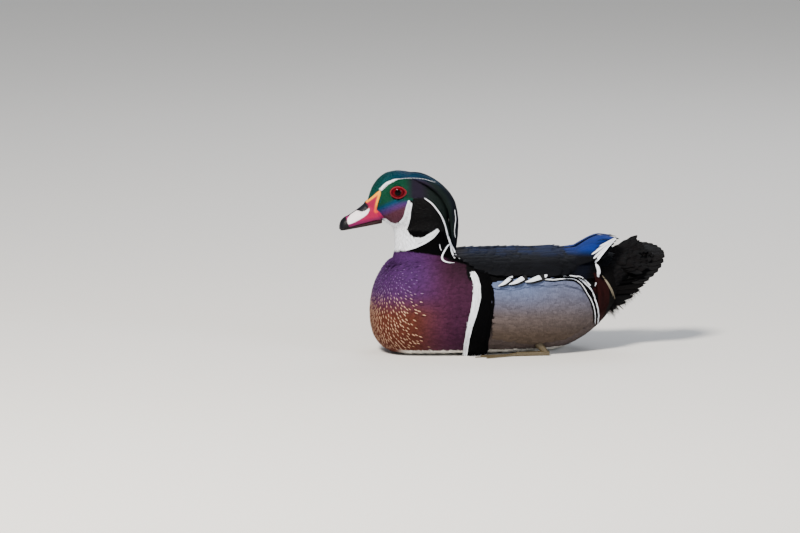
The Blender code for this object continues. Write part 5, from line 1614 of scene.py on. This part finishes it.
def tail_shade(points, vane, share):
    """Black brown webs with a faint green shine and a paler shaft line."""
    tint = mix(np.tile(linear("090708"), (len(points), 1)), linear("0C1012"), 0.5 * vane[:, 2])
    tint = mix(tint, linear("161313"), 0.5 * soft_step(0.12, 0.0, np.abs(vane[:, 0])))
    return mix(tint, linear("040303"), 0.6 * soft_step(0.85, 1.0, np.abs(vane[:, 0])))


tail_barbs = barb_material("tail feathers, stiff black webs", 0.6, 0.08, 0.0, 1.2)
rump_barbs = barb_material("rump and under tail feathers, soft black webs", 0.75, 0.05, 0.0, 1.3)

bed_turns = np.linspace(0, 2 * math.pi, 40, endpoint=False)
bed_mesh = closed_tube("tail_bed", [np.column_stack([
    np.full(40, x), half * np.sin(bed_turns), (top + low) / 2 + (top - low) / 2 * np.cos(bed_turns)])
    for x, top, low, half in smooth_curve(TAIL_BED, 30)])
face_out(bed_mesh)
bed_points, bed_normals, bed_triangles = mesh_arrays(bed_mesh)
set_attributes(bed_mesh, np.tile(linear("060505"), (len(bed_points), 1)))
set_map(bed_mesh, unwrap(bed_points)[corner_points(bed_mesh)])
tail_bed = add_piece("tail_bed", bed_mesh, skin_material)
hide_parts("tail")
add_surface(tail_bed)
bed_ground = (surfaces[-1], bed_normals, bed_triangles)

pairs = np.repeat(np.arange(TAIL_PAIRS), 2)
sides = np.tile([-1.0, 1.0], TAIL_PAIRS)
spread = (pairs + 0.5) / (TAIL_PAIRS - 0.5)
lengths = TAIL_LENGTHS[0] + (TAIL_LENGTHS[1] - TAIL_LENGTHS[0]) * spread ** 1.6
halves = quill_halves(np.full(len(pairs), 15.5), 22, 0.5, 0.8, 0.9)
middles, normals = fan_lines(sides * TAIL_SPREAD * spread, np.full(len(pairs), 8.0), lengths - 8.0,
                             1.55 * (pairs + np.where(sides > 0, 0.5, 0.0)), np.full(len(pairs), 1.5), 22)
add_surface(plant("tail_fan", middles, normals, halves, np.full(halves.shape, 0.5), 11, tail_shade,
                  tail_barbs, 0.14, 0.012))

# Coverts under the tail: number in a row, root place and height, end place and height, reach sideways
UNDER_ROWS = [(17, 117.0, 74.0, 158.0, 88.0, 15.0), (17, 114.0, 69.0, 153.0, 81.5, 14.5),
              (16, 111.0, 64.0, 147.0, 74.0, 13.5), (15, 109.0, 58.0, 140.0, 66.0, 12.0),
              (14, 107.0, 53.0, 131.0, 60.0, 11.0), (12, 104.0, 48.0, 122.0, 54.5, 10.0)]
# Coverts above and below: soft feathers rooted all over the bed, pointing to the end of the tail.
TAIL_END = np.array([196.0, 0.0, 108.0])


def covert_sizes(points):
    far = soft_step(112, 150, points[:, 0])
    return np.column_stack([2.8 + 0.5 * far, 17.0 + 3 * far, 7.4 + 1.0 * far, 1.6 + 0.6 * far])


roots, root_ways = scatter(bed_points, bed_normals, bed_triangles, lambda places: places[:, 0] < 148, covert_sizes)
ways = TAIL_END - roots + np.column_stack([np.zeros(len(roots)), DRAW.normal(0, 6, (len(roots), 2))])
ways -= root_ways * (ways * root_ways).sum(1)[:, None]
ways /= np.linalg.norm(ways, axis=1)[:, None]
_, lengths, widths, lifts = covert_sizes(roots).T
lengths = lengths * DRAW.uniform(0.85, 1.15, len(roots))
shares = np.linspace(0, 1, 7)
middles, normals = lay_on_skin(roots, ways, lengths, shares, 0.5, lifts * DRAW.uniform(0.7, 1.3, len(roots)),
                               0.8, bed_ground)
# Past the end of the bed the feathers run straight on.
straight = roots[:, None] + ways[:, None] * (lengths[:, None] * shares)[..., None] + (middles[:, :1] - roots[:, None])
past = soft_step(140, 150, straight[..., 0])[..., None]
middles = middles * (1 - past) + straight * past
halves = widths[:, None] * width_along(shares, 0.6, 0.6, 0.4)
add_surface(plant("tail_coverts", middles, normals, halves, np.full(halves.shape, 0.3), 5, tail_shade,
                  rump_barbs, 0.2))

angles, starts, lengths, drops, rises, widths = [], [], [], [], [], []
for row, number in enumerate((17, 17, 16, 15)):
    for angle in np.linspace(-1.0, 1.0, number) + DRAW.uniform(-0.03, 0.03, number):
        angles.append(TAIL_SPREAD * angle)
        starts.append(15 - 6.0 * row + DRAW.uniform(-1.5, 1.5))
        lengths.append(33 - 1.5 * row + DRAW.uniform(-2, 2))
        drops.append(-(0.6 + 0.8 * row + DRAW.uniform(0, 0.4)))
        rises.append(1.6 + 0.7 * row)
        widths.append(DRAW.uniform(8.5, 10.0))
halves = quill_halves(widths, 12, 0.5, 0.5, 0.4)
middles, normals = fan_lines(*(np.array(item) for item in (angles, starts, lengths, drops, rises)), 12)
add_surface(plant("upper_tail_coverts", middles, normals, halves, np.full(halves.shape, 0.3), 7, tail_shade,
                  rump_barbs, 0.2))
lines, outs, widths = [], [], []
for number, first, low, last, high, reach in UNDER_ROWS:
    for item in range(number):
        share = 2 * (item + DRAW.uniform(-0.3, 0.3)) / (number - 1) - 1
        start = np.array([first - 3, reach * share, low + 0.3 * reach * share])
        end = np.array([last, 1.15 * reach * share, high + 0.8 * reach * share]) + DRAW.uniform(-2.0, 2.0, 3)
        normal = (np.array([0.45, 0.4 + 0.35 * share, -1.0]) * (1 - abs(share) * 0.7)
                  + np.array([0.3, np.sign(share), -0.3]) * abs(share) * 0.7)
        normal /= np.linalg.norm(normal)
        steps = np.linspace(0, 1, 10)[:, None]
        lines.append(start + (end - start) * steps + (np.sin(math.pi * steps) * 1.5 + DRAW.uniform(0, 1.0)) * normal)
        outs.append(np.tile(normal, (10, 1)))
        widths.append(DRAW.uniform(7.5, 10.0))
halves = quill_halves(widths, 10, 0.6, 0.5, 0.34)
add_surface(plant("under_tail_coverts", np.array(lines), np.array(outs), halves, np.full(halves.shape, 0.3), 7,
                  tail_shade, rump_barbs, 0.25))

# A loose fringe hangs below the root of the tail.
lines, outs, widths = [], [], []
for _ in range(320):
    share = DRAW.random()
    y = DRAW.uniform(-1, 1)
    start = np.array([106 + 30 * share, y * (14 - 6 * share), 44 + 27 * share])
    way = np.array([1.0, y * 0.3, -0.45 + DRAW.normal(0, 0.13)])
    way /= np.linalg.norm(way)
    length = DRAW.uniform(9, 17)
    steps = np.linspace(0, 1, 7)[:, None]
    lines.append(start + way * length * steps + np.array([0, 0, -4.5]) * steps ** 2)
    outs.append(np.tile([0.3, y, -0.8], (7, 1)))
    widths.append(DRAW.uniform(0.6, 1.2))
halves = np.array(widths)[:, None] * np.interp(np.linspace(0, 1, 7), [0, 0.4, 1], [0.5, 0.5, 0.06])
plant("rump_fringe", np.array(lines), np.array(outs), halves, np.full(halves.shape, 0.3), 3,
      one_colour(linear("070505")), rump_barbs)

# Side plumes: maroon ones over the rump behind the flank, then long thin buff ones.
MAROON_LINES = [[(96.0 + shift, 84.0 - 0.5 * shift), (101.0 + 1.15 * shift, 69.0), (102.4 + 1.1 * shift, 53.0),
                 (100.6 + shift, 36.0 + 0.6 * shift)] for shift in np.arange(0, 10.5, 0.42)]
BUFF_LINES = [[(106.0, 80.0), (111.8, 72.4), (116.6, 64.0), (119.4, 54.6)],
              [(107.0, 78.6), (111.0, 72.0), (115.0, 64.4), (117.4, 57.4)]]
middles, normals = laid_lines([even_steps(line, 12, DRAW.uniform(0, 0.2), DRAW.uniform(0.7, 1.0))
                               for line in MAROON_LINES * 2], 12, 1.6, 0.6, True)
halves = np.tile(1.05 * np.interp(np.linspace(0, 1, 12), [0, 0.3, 0.8, 1], [0.5, 1, 0.8, 0.1]), (len(middles), 1))
plant("maroon_plumes", middles, normals, halves, np.full(halves.shape, 0.35), 5, one_colour(RUMP_MAROON),
      rump_barbs, 0.3)
middles, normals = laid_lines([even_steps(line, 12) for line in BUFF_LINES], 12, 2.2, 0.8, True)
halves = np.tile(0.6 * np.interp(np.linspace(0, 1, 12), [0, 0.3, 0.8, 1], [0.5, 1, 0.8, 0.1]), (len(middles), 1))
plant("buff_plumes", middles, normals, halves, np.full(halves.shape, 0.3), 3, one_colour(linear("8E8470")),
      rump_barbs, 0.3)

# White ends of the folded flight feathers, laid over the roots of the tail.
middles, normals = laid_lines([even_steps(line, 18) for line in FAN_STRIPS], 18, 1.6, 1.2, True)
halves = np.outer(FAN_HALVES * 2, np.interp(np.linspace(0, 1, 18), [0, 0.1, 0.5, 1], [0.4, 1.0, 0.85, 0.2]))
plant("white_wing_tips", middles, normals, halves, np.full(halves.shape, 0.4), 5, one_colour(WHITE),
      white_barbs, 0.1, 0.012)
middles, normals = laid_lines([even_steps(HIND_PATCH, 18)], 18, 2.8, 2.6, True)
halves = np.tile(2.1 * np.interp(np.linspace(0, 1, 18), [0, 0.12, 0.4, 0.8, 1], [0.3, 0.9, 1.0, 0.5, 0.1]), (2, 1))
plant("white_hind_patch", middles, normals, halves, np.full(halves.shape, 0.4), 7, one_colour(WHITE),
      white_barbs, 0.1, 0.012)

# ---------------------------------------------------------------------------------------------
# Legs and webbed feet, folded under the body: dull yellow scaly skin, darker between the scales.
# ---------------------------------------------------------------------------------------------
leg_skin = new_material("scaly leg skin")
scales = add_node(leg_skin, "ShaderNodeTexVoronoi", {"Scale": 520.0})
leg_grain = add_node(leg_skin, "ShaderNodeTexNoise", {"Scale": 90.0, "Detail": 4.0})
leg_mix = add_node(leg_skin, "ShaderNodeMapRange", {"Value": scales.outputs["Distance"], "From Max": 0.7,
                   "To Min": 1.0, "To Max": 0.55})
leg_tone = add_node(leg_skin, "ShaderNodeMix", {"Factor": leg_grain.outputs["Fac"], "A": (*linear("665530"), 1),
                    "B": (*linear("3A321E"), 1)}, data_type="RGBA")
leg_colour = add_node(leg_skin, "ShaderNodeVectorMath", {0: leg_tone.outputs["Result"], 1: leg_mix.outputs[0]},
                      operation="MULTIPLY")
leg_bump = add_node(leg_skin, "ShaderNodeBump", {"Height": scales.outputs["Distance"], "Strength": 0.5,
                    "Distance": 0.0004})
finish_material(leg_skin, add_node(leg_skin, "ShaderNodeBsdfPrincipled", {
    "Base Color": leg_colour.outputs[0], "Roughness": 0.5, "Coat Weight": 0.1, "Normal": leg_bump.outputs[0]}))
for node in ("leg_left", "leg_right", "foot_left", "foot_right"):
    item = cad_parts[node]
    item.data.materials.clear()
    item.data.materials.append(leg_skin)
